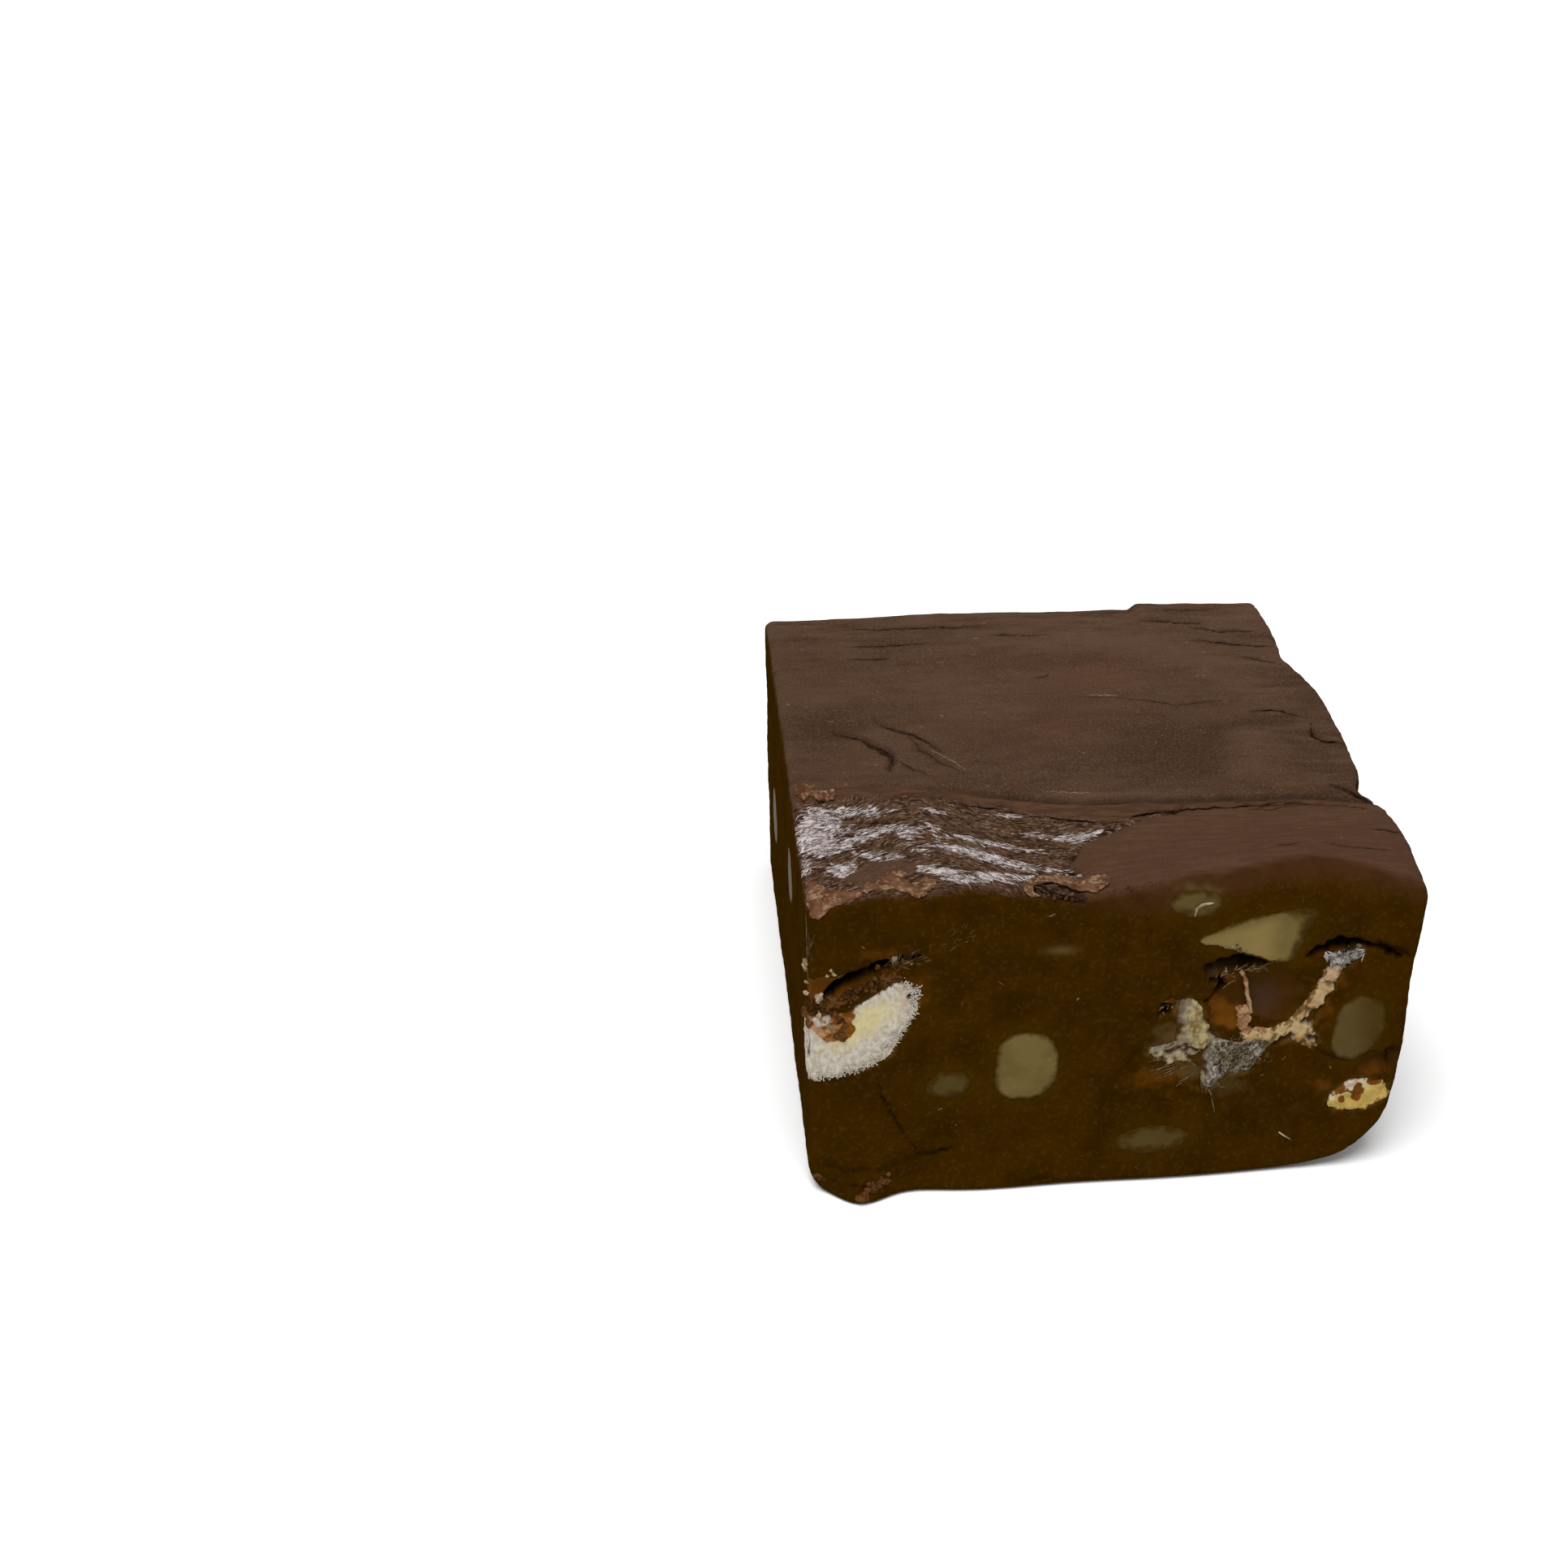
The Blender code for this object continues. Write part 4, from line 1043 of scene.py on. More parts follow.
def build_marshmallow(name):
    face, chains = MARSHMALLOWS[name]
    ball, ball_faces = unit_ball()
    balls = [(ball * radius + centre, ball_faces) for centre, radius in zip(*ball_centres(face, chains))]
    points, shown, faces = set_flush(*joined(balls), MARSHMALLOW_VOXEL)
    normals = outward_directions(points, faces)
    edge = inside_balls(points, face, chains)
    x, _, z = points.T

    def rough(offset, *grain):
        return noise(points + offset, *grain)

    rise = 0.1 * rough(33, 1.3, 3) + 0.04 * rough(37, 0.45, 3)
    rise -= 0.1 * (1 - ramp(0, 0.4, edge))
    yellow, stain, grit, vein, brown, cream, pink = np.zeros((7, len(points)))
    ragged = 0.5 * rough(39, 1.1, 3)
    if name == "marshmallow_left":
        yellow = np.hypot((x + 21.6) / 3.8, (z - 17 - 0.62 * (x + 21.6)) / 2.2) + 0.3 * ragged
        yellow = ramp(1.3, 0.1, yellow)
        stain = ramp(1.3, 0.7, off_line(x, z, STAIN_LINE) + 0.8 * ragged)
        stain *= 1 - 0.75 * ramp(1.1, 0.5, np.hypot(x + 24.9, 0.6 * (z - 18.4)) + 0.6 * ragged)
        pink = ramp(1.9, 0.8, np.hypot(x + 24.8, 0.7 * (z - 17.8)) + ragged)
        pink = np.maximum(pink, 0.6 * ramp(1.8, 0.5, np.hypot(x + 17.4, z - 19.6) + ragged))
        brown = ramp(0.5, 0.3, np.hypot(x + 17.2, z - 19.9) + 0.4 * ragged)
        speckled = ramp(-17.6, -16.6, x + 0.5 * ragged) * ramp(0.1, 0.5, rough(55, 0.6, 3))
        brown = np.maximum(brown, 0.7 * speckled)
        rise -= 0.25 * brown
        rise += 0.3 * stain * rough(53, 1, 2)
    if name == "marshmallow_torn":
        wobble = 0.28 * rough(43, 1, 4) + 0.16 * rough(45, 0.45, 2)
        vein = np.max([ramp(end, full, off_line(x, z, line) + wobble) for line, end, full in VEINS], axis=0)
        cream = ramp(1.35, 0.85, off_line(x, z, CREAM_LINE) + 1.3 * wobble)
        patchy = 0.5 * (x - 6.6) - 0.08 * (z - 15) + 0.7 * rough(61, 0.9, 4)
        cream *= 0.2 + 0.8 * ramp(-0.6, 0.3, patchy)
        foot = ramp(0.8, 0.4, off_line(x, z, FOOT_LINE) + 1.8 * wobble) * ramp(-0.3, 0.1, rough(57, 1.1, 3))
        cream = np.maximum.reduce([
            cream, foot, 0.8 * ramp(0.42, 0.2, off_line(x, z, STRAND_LINE) + 0.6 * wobble),
            0.55 * ramp(0.6, 0.2, off_line(x, z, SHEET_LINE) + 0.8 * wobble),
        ])
        grit = ramp(8.4, 9.4, x + ragged) * ramp(14.6, 13.6, x + ragged) * ramp(14.4, 13.8, z)
        grit = np.maximum(grit, ramp(9, 9.6, x + ragged) * ramp(11.6, 10.6, z + ragged) * 0.7)
        patch = ramp(1, 0.7, off_line(x, z, WHITE_PATCH_LINE) + wobble)
        grit = np.maximum(grit, patch)
        vein *= 1 - patch
        brown = 1 - np.maximum.reduce([vein, cream, grit])
        dirt = ramp(0.2, 0.5, rough(59, 0.8, 4))
        brown = np.maximum(brown, 0.7 * np.maximum(vein, 0.6 * cream) * dirt)
        pink = np.maximum(foot * ramp(7, 5.8, x), 0.6 * vein * ramp(18.6, 20.4, z))
        rise += vein * (0.3 * rough(47, 0.9, 3) + 0.2) - 0.2 * patch - 0.3 * brown
        rise += cream * (0.08 + 0.16 * rough(51, 0.7, 4))
        rise += grit * 0.18 * rough(51, 0.45, 3)
    if name == "marshmallow_corner":
        yellow = 2 * ramp(-0.9, 0.7, 8.4 - z + 0.35 * (x - 22.6) + 0.6 * ragged)
        pink = 0.9 * (1 - np.minimum(yellow, 1))
        rise += 0.28 * rough(67, 1, 3)
        blotted = 0.7 * rough(69, 0.8, 4)
        for place_x, place_z, reach in CORNER_BLOTCHES:
            near = np.hypot(x - place_x, z - place_z) / reach + blotted
            stain = np.maximum(stain, ramp(1.3, 0.6, near))
            brown = np.maximum(brown, 0.35 * ramp(1, 0.4, near + 0.4 * ragged))
        stain = np.maximum(stain, 0.45 * ramp(0.25, 0, edge + blotted))
        yellow = np.maximum(yellow, ramp(0.3, 0.6, stain))
        rise -= 0.15 * brown
    points = points + normals * (shown * rise)[:, None]
    add_piece(
        name + "_form", points, faces, "marshmallow", "marshmallow", name, edge=edge, yellow=yellow,
        stain=stain, grit=grit, vein=vein, brown=brown, cream=cream, pink=pink,
    )


# Loose bits, torn sheets and fibres

STATIONS = 9  # places along each strand
PATH_STEPS = 200  # places on a line from which bits are strewn
FLOW_STEP = 0.25


def drawn(draw, sizes, count):
    """Sizes drawn between two, or the given ones where there are more or fewer."""
    return draw.uniform(*sizes, count) if len(sizes) == 2 else np.array(sizes)


def strands(draw, spots, turns, lengths, radius, lift, curl, seed, surface=on_front):
    """Strands that lie on a surface from each spot, heading and length, arched off it a little."""
    spots = np.array(spots)
    count = len(spots)
    lengths = drawn(draw, lengths, count)
    draw = np.random.default_rng(seed)
    share = np.linspace(0, 1, STATIONS)
    kinks = draw.normal(0, curl, (count, STATIONS)).cumsum(axis=1)
    bend = draw.normal(0, curl, (count, 1)) * share + 0.15 * kinks
    heading = np.radians(turns)[:, None] + bend
    step = (lengths / (STATIONS - 1))[:, None]
    u = spots[:, :1] + np.cumsum(np.cos(heading) * step, axis=1)
    v = spots[:, 1:] + np.cumsum(np.sin(heading) * step, axis=1)
    places, outs = (part.reshape(count, STATIONS, 3) for part in surface(u.ravel(), v.ravel()))
    height = lift * (0.3 + draw.random((count, 1)) * np.sin(np.pi * share))
    size = radius * draw.uniform(0.6, 1.2, (count, 1))
    radii = size * (0.35 + 0.65 * np.sin(np.pi * np.clip(share, 0.04, 0.96)))
    return tubes(places + outs * height[:, :, None], outs, radii)


def add_lumps(name, paint, slot, draw, spots, sizes, sink, seed, surface=on_front, under=0):
    """Crumbs of ragged form in one piece, each partly sunk where it lies."""
    places, outs = surface(*np.transpose(spots))
    sizes = drawn(draw, sizes, len(spots))
    draw = np.random.default_rng(seed)
    ball, faces = unit_ball()
    lumps = []
    for index, (place, out, size) in enumerate(zip(places - outs * under, outs, sizes)):
        turn = np.linalg.qr(draw.normal(size=(3, 3)))[0]
        turn[:, 0] *= np.sign(np.linalg.det(turn))
        stretch = draw.uniform(0.6, 1.25, 3)
        ragged = 1 + 0.55 * noise(ball + 13.7 * index, 0.85, 4)
        form = (ball * ragged[:, None] * stretch * size) @ turn
        lumps.append((form + place + out * size * (0.4 - sink), faces))
    add_piece(name, *joined(lumps), paint, slot)


def scattered(line, count, spread, seed):
    """Places strewn along a line, with a spread to its sides."""
    draw = np.random.default_rng(seed)
    chosen = along_path(line, PATH_STEPS)[draw.integers(0, PATH_STEPS, count)]
    return chosen + draw.normal(0, spread, (count, 2))


def strewn(draw, count, low_u, high_u, low_v, high_v):
    """Places strewn evenly between two values of each coordinate."""
    return np.column_stack((draw.uniform(low_u, high_u, count), draw.uniform(low_v, high_v, count)))


FLAKE_CELL = 0.13  # spacing of a flake's mesh before it is melted into one skin
FLAKE_SIDES = (((-1, 0), (3, 0)), ((1, 0), (1, 2)), ((0, -1), (0, 1)), ((0, 1), (2, 3)))


def build_flake(name, outline, holes, thickness, lift, curl, seed):
    """A ragged sheet torn up over the top's front edge, curling off it towards its rim."""
    low, high = np.min(outline, axis=0) - 0.5, np.max(outline, axis=0) + 0.5
    u, v = np.meshgrid(*(np.arange(low[axis], high[axis], FLAKE_CELL) for axis in (0, 1)), indexing="ij")
    spots = np.column_stack((u.ravel(), v.ravel(), np.full(u.size, 3.1 * seed)))
    ragged_u = spots[:, 0] + 0.2 * noise(spots + 3, 0.9, 3)
    ragged_v = spots[:, 1] + 0.2 * noise(spots + 8, 0.9, 3)
    inside = inside_outline(ragged_u, ragged_v, outline)
    for hole_u, hole_v, radius in holes:
        inside = np.minimum(inside, np.hypot(ragged_u - hole_u, ragged_v - hole_v) - radius)
    places, outs = over_edge(spots[:, 0], spots[:, 1])
    off = lift + curl * ramp(1, 0, inside) * (0.6 + 0.8 * noise(spots + 21, 2, 2))
    upper = places + outs * (off + 0.1 * noise(spots + 27, 1.6, 2))[:, None]
    lower = upper - outs * (thickness * (0.75 + 0.5 * noise(spots + 31, 1, 2)))[:, None]
    index = np.arange(u.size).reshape(u.shape)
    corners = np.stack((index[:-1, :-1], index[1:, :-1], index[1:, 1:], index[:-1, 1:]), axis=-1)
    cells = (inside > 0)[corners].all(axis=-1)
    padded = np.pad(cells, 1)
    walls = []
    for (step_u, step_v), side in FLAKE_SIDES:
        beside = padded[1 + step_u:1 + step_u + cells.shape[0], 1 + step_v:1 + step_v + cells.shape[1]]
        start, end = corners[cells & ~beside][:, side].T
        walls.append(np.stack((start, start + u.size, end + u.size, end), axis=-1))
    quads = corners[cells]
    used, faces = np.unique(np.vstack([quads, quads[:, ::-1] + u.size] + walls), return_inverse=True)
    points = np.vstack((upper, lower))[used]
    points, faces = melted(points, outward_faces(points, faces.reshape(-1, 4)), FLAKE_VOXEL)
    # Where each flake takes its pale colour: a painted highlight strewn at random
    pale = ramp(0.25, 0.75, 0.5 + 0.5 * noise(points + 51, 1.2, 3))
    add_piece(name, points, faces, "flake", "fudge", pale=pale)


# Outline in x and the way back over the edge, holes, thickness, lift, curl, seed
FLAKES = {
    "flake_corner": (((-26.2, 3.4), (-25.2, 4.2), (-24.4, 2.7), (-23, 1.6), (-21.8, 0.9), (-22.8, 0),
     (-24, -0.5), (-25.4, -1.2), (-26.2, -0.4), (-26.4, 1.4)), (), 0.3, 0.12, 0.1, 1),
    "flake_ledge": (((-25.8, 19.4), (-24.9, 20.5), (-23.4, 20.3), (-22.3, 19.9), (-22.1, 18.7),
     (-23.2, 18.2), (-24.4, 18.5), (-25.4, 18.1)), (), 0.4, 0.28, 0, 4),
    "flake_middle": (((-23.2, 0.4), (-21.6, 1.6), (-20.2, 2.6), (-19, 3.7), (-18.2, 4.6), (-17.5, 4.2),
     (-17.4, 3), (-16.8, 2.6), (-16, 3), (-15.4, 2.6), (-15.4, 1.4), (-16.2, 0.4), (-17, -0.2),
     (-17.8, 0.4), (-18.8, 1), (-20.2, 0.8), (-21.8, 0.2)), ((-17.5, 3, 0.3),), 0.22, 0.1, 0.14, 2),
    "flake_right": (((-8, 1.4), (-7.4, 2.7), (-6, 3.5), (-4.4, 3.6), (-2.6, 3.2), (-1, 3.1), (-0.4, 2.2),
     (-0.9, 1.2), (-2, 0.5), (-3.2, 1), (-4.4, 1.7), (-5.6, 2.1), (-6.7, 1.7), (-7.1, 0.9), (-6.6, 0.1),
     (-7.4, -0.2), (-8.2, 0.4)), (), 0.2, 0.14, 0.16, 3),
}
FLUFF_LINE = (
    (-17.9, 21.2), (-16.9, 20.3), (-17, 18.8), (-17.8, 16.9), (-19.2, 14.6), (-20.7, 13.1), (-23, 12.3),
    (-25.8, 11.8),
)


def build_slit():
    """The torn slit over the left marshmallow, and the stained corner of that marshmallow."""
    draw = np.random.default_rng(21)
    spots = scattered(((-26.2, 19), (-24, 19.6), (-21.5, 20.8), (-18.2, 22.3)), 130, 0.4, 1) - (0, 0.25)
    add_lumps("slit_crumbs", "crumb", "fudge", draw, spots, (0.1, 0.3), 0.8, 2)
    spots = (
        (-26.2, 23.1), (-26.3, 22.6), (-24.2, 22.8), (-23.9, 22.3), (-24.4, 22.2), (-26.4, 21.2),
        (-26.3, 20.1),
    )
    sizes = (0.46, 0.36, 0.44, 0.38, 0.3, 0.2, 0.26)
    add_lumps("slit_chips", "white", "marshmallow", draw, spots, sizes, 1.2, 3)
    spots = ((-24.9, 19.2), (-25, 18.4), (-24.7, 17.7), (-25.1, 19.9), (-24.2, 17.2))
    add_lumps("stain_chips", "white", "marshmallow", draw, spots, (0.55, 0.5, 0.4, 0.36, 0.34), 1.1, 33)
    spots = (
        (-26.3, 18), (-23.3, 16.2), (-22.9, 16.9), (-23.4, 17.6), (-23.7, 18.4), (-24, 19.6), (-25.9, 17)
    )
    sizes = (0.45, 0.62, 0.45, 0.5, 0.45, 0.5, 0.4)
    add_lumps("stain_crumbs", "crumb", "fudge", draw, spots, sizes, 1.1, 4)
    spots = scattered(((-18.8, 23.7), (-18, 23.5), (-17.3, 23.3)), 9, 0.3, 34) - (0, 0.25)
    add_lumps("slit_grains", "thread", "fudge", draw, spots, (0.12, 0.3), 0.9, 35)
    spots = scattered(FLUFF_LINE, 900, 0.2, 36)
    fluff = strands(draw, spots, draw.uniform(0, 360, 900), (0.15, 0.36), 0.055, 0.03, 0.9, 37)
    add_piece("edge_fluff", *fluff, "fluff", "marshmallow")
    spots = strewn(draw, 26, -26.4, -25.7, 13, 27.6)
    threads = strands(draw, spots, draw.normal(88, 8, 26), (0.6, 2), 0.035, 0.05, 0.3, 38)
    spots = strewn(draw, 46, -17.2, -12, 22.8, 26.4)
    spots = spots[np.abs(spots[:, 1] - 24 - 0.42 * (spots[:, 0] + 16.5)) < 1.1]
    scratches = strands(draw, spots, draw.normal(42, 22, len(spots)), (0.3, 1), 0.025, 0.02, 0.5, 39)
    add_piece("front_threads", *joined([threads, scratches]), "fibre", "fudge")
    spots = scattered(((-19.4, 23), (-16.6, 23.8)), 26, 0.3, 5)
    fibres = strands(draw, spots, draw.normal(20, 24, 26), (0.5, 1.4), 0.03, 0.08, 0.6, 6)
    add_piece("slit_fibres", *fibres, "fibre", "fudge")


def build_torn_bits():
    """Grit, threads and crumbs of the torn marshmallow, and the tendon that hangs over its hollow."""
    draw = np.random.default_rng(33)
    spots = np.column_stack((draw.normal(11.3, 1.3, 170), draw.normal(12.4, 0.75, 170)))
    grit = strands(draw, spots, draw.normal(50, 30, 170), (0.25, 0.8), 0.035, 0.14, 0.5, 7)
    spots = scattered(((6, 14.2), (5, 13.2), (6.6, 11.4)), 18, 0.3, 9)
    wisps = strands(draw, spots, draw.normal(-140, 12, 18), (0.8, 2.2), 0.03, 0.05, 0.2, 10)
    spots = scattered(((8.4, 10.8), (9.6, 9.8)), 14, 0.4, 11)
    tail = strands(draw, spots, draw.normal(-80, 22, 14), (0.8, 1.8), 0.03, 0.05, 0.2, 12)
    hair = strands(draw, ((9.1, 9.4),), (-72,), (2.6,), 0.045, 0.02, 0.1, 28)
    add_piece("torn_threads", *joined([grit, wisps, tail, hair]), "thread", "marshmallow")
    spots = scattered(((4.2, 17.2), (5.2, 17.8)), 12, 0.3, 14)
    add_lumps("hole_grains", "thread", "marshmallow", draw, spots, (0.06, 0.16), 0.3, 15, under=0.5)
    path = along_path(((11, 20.8), (11.4, 20.2), (11.6, 19.4), (11.7, 18.6), (12, 17.6), (12.1, 16.8)), 14)
    places, outs = on_front(*path.T)
    radii = 0.19 * (1 + 0.2 * np.sin(np.arange(14) * 2.1))
    tendon = tubes(places + outs * np.linspace(-0.7, -0.15, 14)[:, None], outs, radii)
    add_piece("tendon", *tendon, "pinkish", "marshmallow")
    spots = scattered(((11.6, 17), (11.3, 15.8), (12, 14.9), (13.6, 14.7)), 22, 0.2, 16)
    add_lumps("tendon_crumbs", "pinkish", "marshmallow", draw, spots, (0.3, 0.62), 1, 17)
    spots = scattered(((9.4, 21), (10.8, 21.4), (12.4, 21.3)), 14, 0.14, 18)
    debris = strands(draw, spots, draw.normal(12, 25, 14), (0.5, 1.3), 0.05, 0.05, 0.5, 19)
    spots = scattered(((8.6, 20.6), (9.6, 20.8), (9.4, 19.4)), 8, 0.2, 20)
    branches = strands(draw, spots, draw.normal(50, 30, 8), (0.5, 1.2), 0.045, 0.05, 0.5, 29)
    add_piece("slot_debris", *joined([debris, branches]), "thread", "fudge")
    spots = strewn(draw, 150, 17.7, 21.6, 21.8, 22.9)
    spots = spots[spots[:, 1] > 21.6 + 0.45 * np.abs(spots[:, 0] - 19.5)]
    turns = np.degrees(np.arctan2(-1.6, 19.3 - spots[:, 0])) + draw.normal(0, 14, len(spots))
    add_piece("vein_fan", *strands(draw, spots, turns, (0.4, 1), 0.08, 0.05, 0.4, 31), "frost", "marshmallow")
    spots = ((9.3, 23.7), (9.9, 23.5), (10.5, 23.4), (11, 23.2), (10.2, 23.8))
    add_lumps("wedge_crumbs", "thread", "nut", draw, spots, (0.3, 0.34, 0.26, 0.3, 0.2), 0.9, 32)


def build_strip_bits():
    """Crumbs along the top's front edge and the band's left end, and fibres smeared along the strip."""
    draw = np.random.default_rng(45)
    spots = scattered(((-15.5, 0.3), (-12, 0.5), (-8, 0.3), (-1, 0.3), (4, 0.6)), 110, 0.22, 22)
    add_lumps("edge_crumbs", "edge_crumb", "fudge", draw, spots, (0.06, 0.17), 1, 23, over_edge)
    stations = np.arange(-27, 4, FLOW_STEP)
    slope = np.gradient(at(SMEAR_FLOW, stations), FLOW_STEP)

    def fibres(spots, spread, *form):
        turns = np.degrees(np.arctan(np.interp(spots[:, 0], stations, slope)))
        return strands(draw, spots, turns + draw.normal(0, spread, len(spots)), *form, on_top)

    spots = strewn(draw, 700, -25.6, 1, -27.8, -12)
    kept = (spots[:, 1] < band_edge(spots[:, 0]) - 0.5) & (spots[:, 0] < flap_edge(spots[:, 1]) - 1.6)
    add_piece("strip_fibres", *fibres(spots[kept], 8, (0.4, 1.1), 0.05, 0.03, 0.25, 26), "fibre", "fudge")
    spots = strewn(draw, 4200, -25.8, -1, -27.6, -12)
    kept = (smear_amount(*spots.T) > draw.uniform(0.1, 1.2, 4200)) & (off_line(*spots.T, BARE_PATCH) > 1.6)
    kept &= spots[:, 1] < band_edge(spots[:, 0]) - 0.4
    smeared = fibres(spots[kept], 11, (0.4, 1.3), 0.045, 0.05, 0.3, 46)
    add_piece("smear_fibres", *smeared, "smear", "marshmallow")


def build_low_flake():
    """A torn flake low on the skirt, and a smaller one beside it."""
    draw = np.random.default_rng(63)
    spots = scattered(((-21.5, 0.7), (-20.6, 1), (-19.6, 1.5), (-18.8, 1.6)), 26, 0.22, 29)
    spots = np.vstack((spots, scattered(((-25.2, 1.6), (-24.7, 1.5)), 6, 0.12, 30)))
    spots[:, 1] = np.maximum(spots[:, 1], 0.7)
    add_lumps("low_flake", "crumb", "fudge", draw, spots, (0.2, 0.4), 0.9, 31)


# Small pale marks: x and z on the front, x and y on the top
FRONT_MARKS = (
    (-9.4, 20.5), (-13, 18.6), (-21.2, 24.7), (-14.7, 7.9), (-13, 6.2), (-10.2, 5.8), (15.4, 27.6),
    (3.4, 1.2), (-3.2, 18.8), (6.2, 9.4), (-6.1, 27.2), (19.8, 10.6),
)
TOP_MARKS = (
    (1.5, -9.5), (-6.6, -10.1), (-3.7, 12.1), (17.6, -20.1), (8.4, 3.2), (-12.6, 14.4), (13.2, 11.8),
)
LIP_HIGHLIGHTS = (  # pale highlights painted along the lips of cracks of the top
    ((3.6, 7.25), (5.8, 7.05), (8, 6.85)),
    ((-12.9, -2.6), (-11.8, -4), (-10.8, -5.4), (-10, -7)),
    ((-3.8, -11.4), (-1, -11.9), (0.6, -12)),
)


def build_chips():
    """A curled chip under the top nut, a splinter low on the front, painted highlights along crack lips, and
    small marks all over.
    """
    draw = np.random.default_rng(57)
    places, outs = on_front(*along_path(((6.3, 26.9), (6.4, 27.6), (6.9, 28), (7.8, 28.1)), 10).T)
    chip = tubes(places + outs * 0.15, outs, 0.15 * np.sin(np.linspace(0.4, 2.6, 10)))
    places, outs = on_front(*along_path(((15.9, 4.1), (16.4, 3.7), (17, 3.3)), 6).T)
    splinter = tubes(places + outs * 0.06, outs, np.full(6, 0.08))
    add_piece("chips", *joined([chip, splinter]), "white", "marshmallow")
    # Thin pale strands on the cracks' lips: painted highlights
    lips = []
    for line in LIP_HIGHLIGHTS:
        x, y = along_path(line, 24).T
        wobble = 0.07 * np.sin(np.arange(24) * 1.3) + 0.05 * np.sin(np.arange(24) * 2.9)
        places, outs = on_top(x, y + wobble)
        radii = 0.05 * np.sin(np.linspace(0.2, 2.9, 24)) * (0.8 + 0.6 * noise(places + 5, 0.8, 2))
        lips.append(tubes(places + outs * 0.07, outs, radii))
    add_piece("crack_lip_highlights", *joined(lips), "white", "fudge")
    marks = [
        strands(draw, spots, draw.uniform(0, 180, len(spots)), (0.2, 0.7), 0.09, 0.02, 0.6, 27, surface)
        for surface, spots in ((on_front, FRONT_MARKS), (on_top, TOP_MARKS))
    ]
    add_piece("marks", *joined(marks), "fibre", "fudge")


# Paints, with textures measured in millimetres, and their colours as they look in plain light, 0 to 255

COLOURS = dict(
    cut_dark=(40, 23, 0), cut_light=(53, 31, 0), cut_pale=(78, 54, 16), cut_halo=(60, 41, 1),
    cut_blush=(60, 37, 22), crease=(20, 12, 6), torn_brown=(56, 34, 7), torn_orange=(92, 54, 12),
    plum=(58, 40, 29), deep=(8, 5, 3), ghost=(84, 68, 40), left_streak_sheen=(52, 38, 10),
    # skin_lit is the skin in painted highlight; skin_dark is its own colour and also its painted shade
    skin_dark=(56, 39, 28), skin_lit=(82, 61, 47), skin_pale=(98, 77, 62), skin_red=(84, 54, 40),
    flap_tint=(82, 57, 42), band_colour=(82, 57, 41), strip_dark=(44, 29, 19), strip_light=(80, 58, 43),
    strip_bare=(76, 54, 42), strip_pale=(126, 106, 93), smear_grey=(108, 90, 82),
    smear_white=(190, 181, 180), nut_dark=(94, 78, 40), nut_light=(108, 91, 50), nut_fleck=(124, 107, 62),
    nut_grey=(86, 76, 44), nut_pale=(120, 103, 60), nut_veil=(54, 35, 3), mallow_white=(186, 178, 166),
    mallow_shade=(160, 150, 134), mallow_yellow=(188, 175, 126), mallow_gold=(167, 141, 76),
    mallow_rim=(84, 60, 26), mallow_pink=(166, 140, 122), mallow_brown=(62, 40, 8),
    cream_dark=(108, 87, 42), cream_light=(153, 140, 100), stain_brown=(108, 64, 18),
    stain_pale=(158, 122, 88), grit_dark=(50, 41, 27), grit_light=(158, 150, 136),
    vein_orange=(138, 98, 50), vein_pale=(162, 138, 98), crumb_dark=(52, 31, 10), crumb_light=(90, 58, 28),
    edge_dark=(50, 33, 20), edge_light=(80, 54, 38), flake_dark=(72, 45, 27), flake_light=(96, 66, 47),
    flake_highlight=(134, 108, 84), fibre_dark=(58, 43, 24), fibre_light=(104, 84, 58),
    thread_dark=(66, 52, 28), thread_light=(128, 114, 84), pink_dark=(120, 78, 42),
    pink_light=(160, 130, 100), bit_dark=(112, 94, 66), bit_light=(168, 148, 126),
    crease_light=(46, 30, 19), frost_dark=(84, 76, 68), frost_light=(157, 151, 147),
)

# Paints of small crumbs and fibres: two colours, and the size of their grains
BIT_PAINTS = {
    "crumb": ("crumb_dark", "crumb_light", 1), "edge_crumb": ("edge_dark", "edge_light", 0.8),
    "fibre": ("fibre_dark", "fibre_light", 0.9), "thread": ("thread_dark", "thread_light", 0.7),
    "pinkish": ("pink_dark", "pink_light", 1), "white": ("bit_dark", "bit_light", 0.8),
    "frost": ("frost_dark", "frost_light", 0.6), "fluff": ("mallow_shade", "mallow_white", 0.6),
    # The crease shade paint colours the fine lines of painted shade sunk in cracks
    "crease": ("crease", "crease_light", 1), "smear": ("smear_grey", "smear_white", 0.5),
}


def linear(colour):
    """The light values that a shader takes for one of the colours."""
    parts = (c / 255 for c in COLOURS[colour])
    return (*(((c + 0.055) / 1.055) ** 2.4 if c > 0.04 else c / 12.92 for c in parts), 1.0)


class Wire:
    """What a node gives out, and further nodes that work on it."""

    def __init__(self, paint, output):
        self.paint = paint
        self.output = output

    def maths(self, operation, other):
        return self.paint.node("Math", 0, {0: self, 1: other}, operation=operation)

    def __mul__(self, other):
        return self.maths("MULTIPLY", other)

    def __add__(self, other):
        return self.maths("ADD", other)

    def __sub__(self, other):
        return self.maths("SUBTRACT", other)

    def span(self, low, high, to_low=0, to_high=1):
        inputs = {"Value": self, "From Min": low, "From Max": high, "To Min": to_low, "To Max": to_high}
        return self.paint.node("MapRange", "Result", inputs, interpolation_type="SMOOTHSTEP")


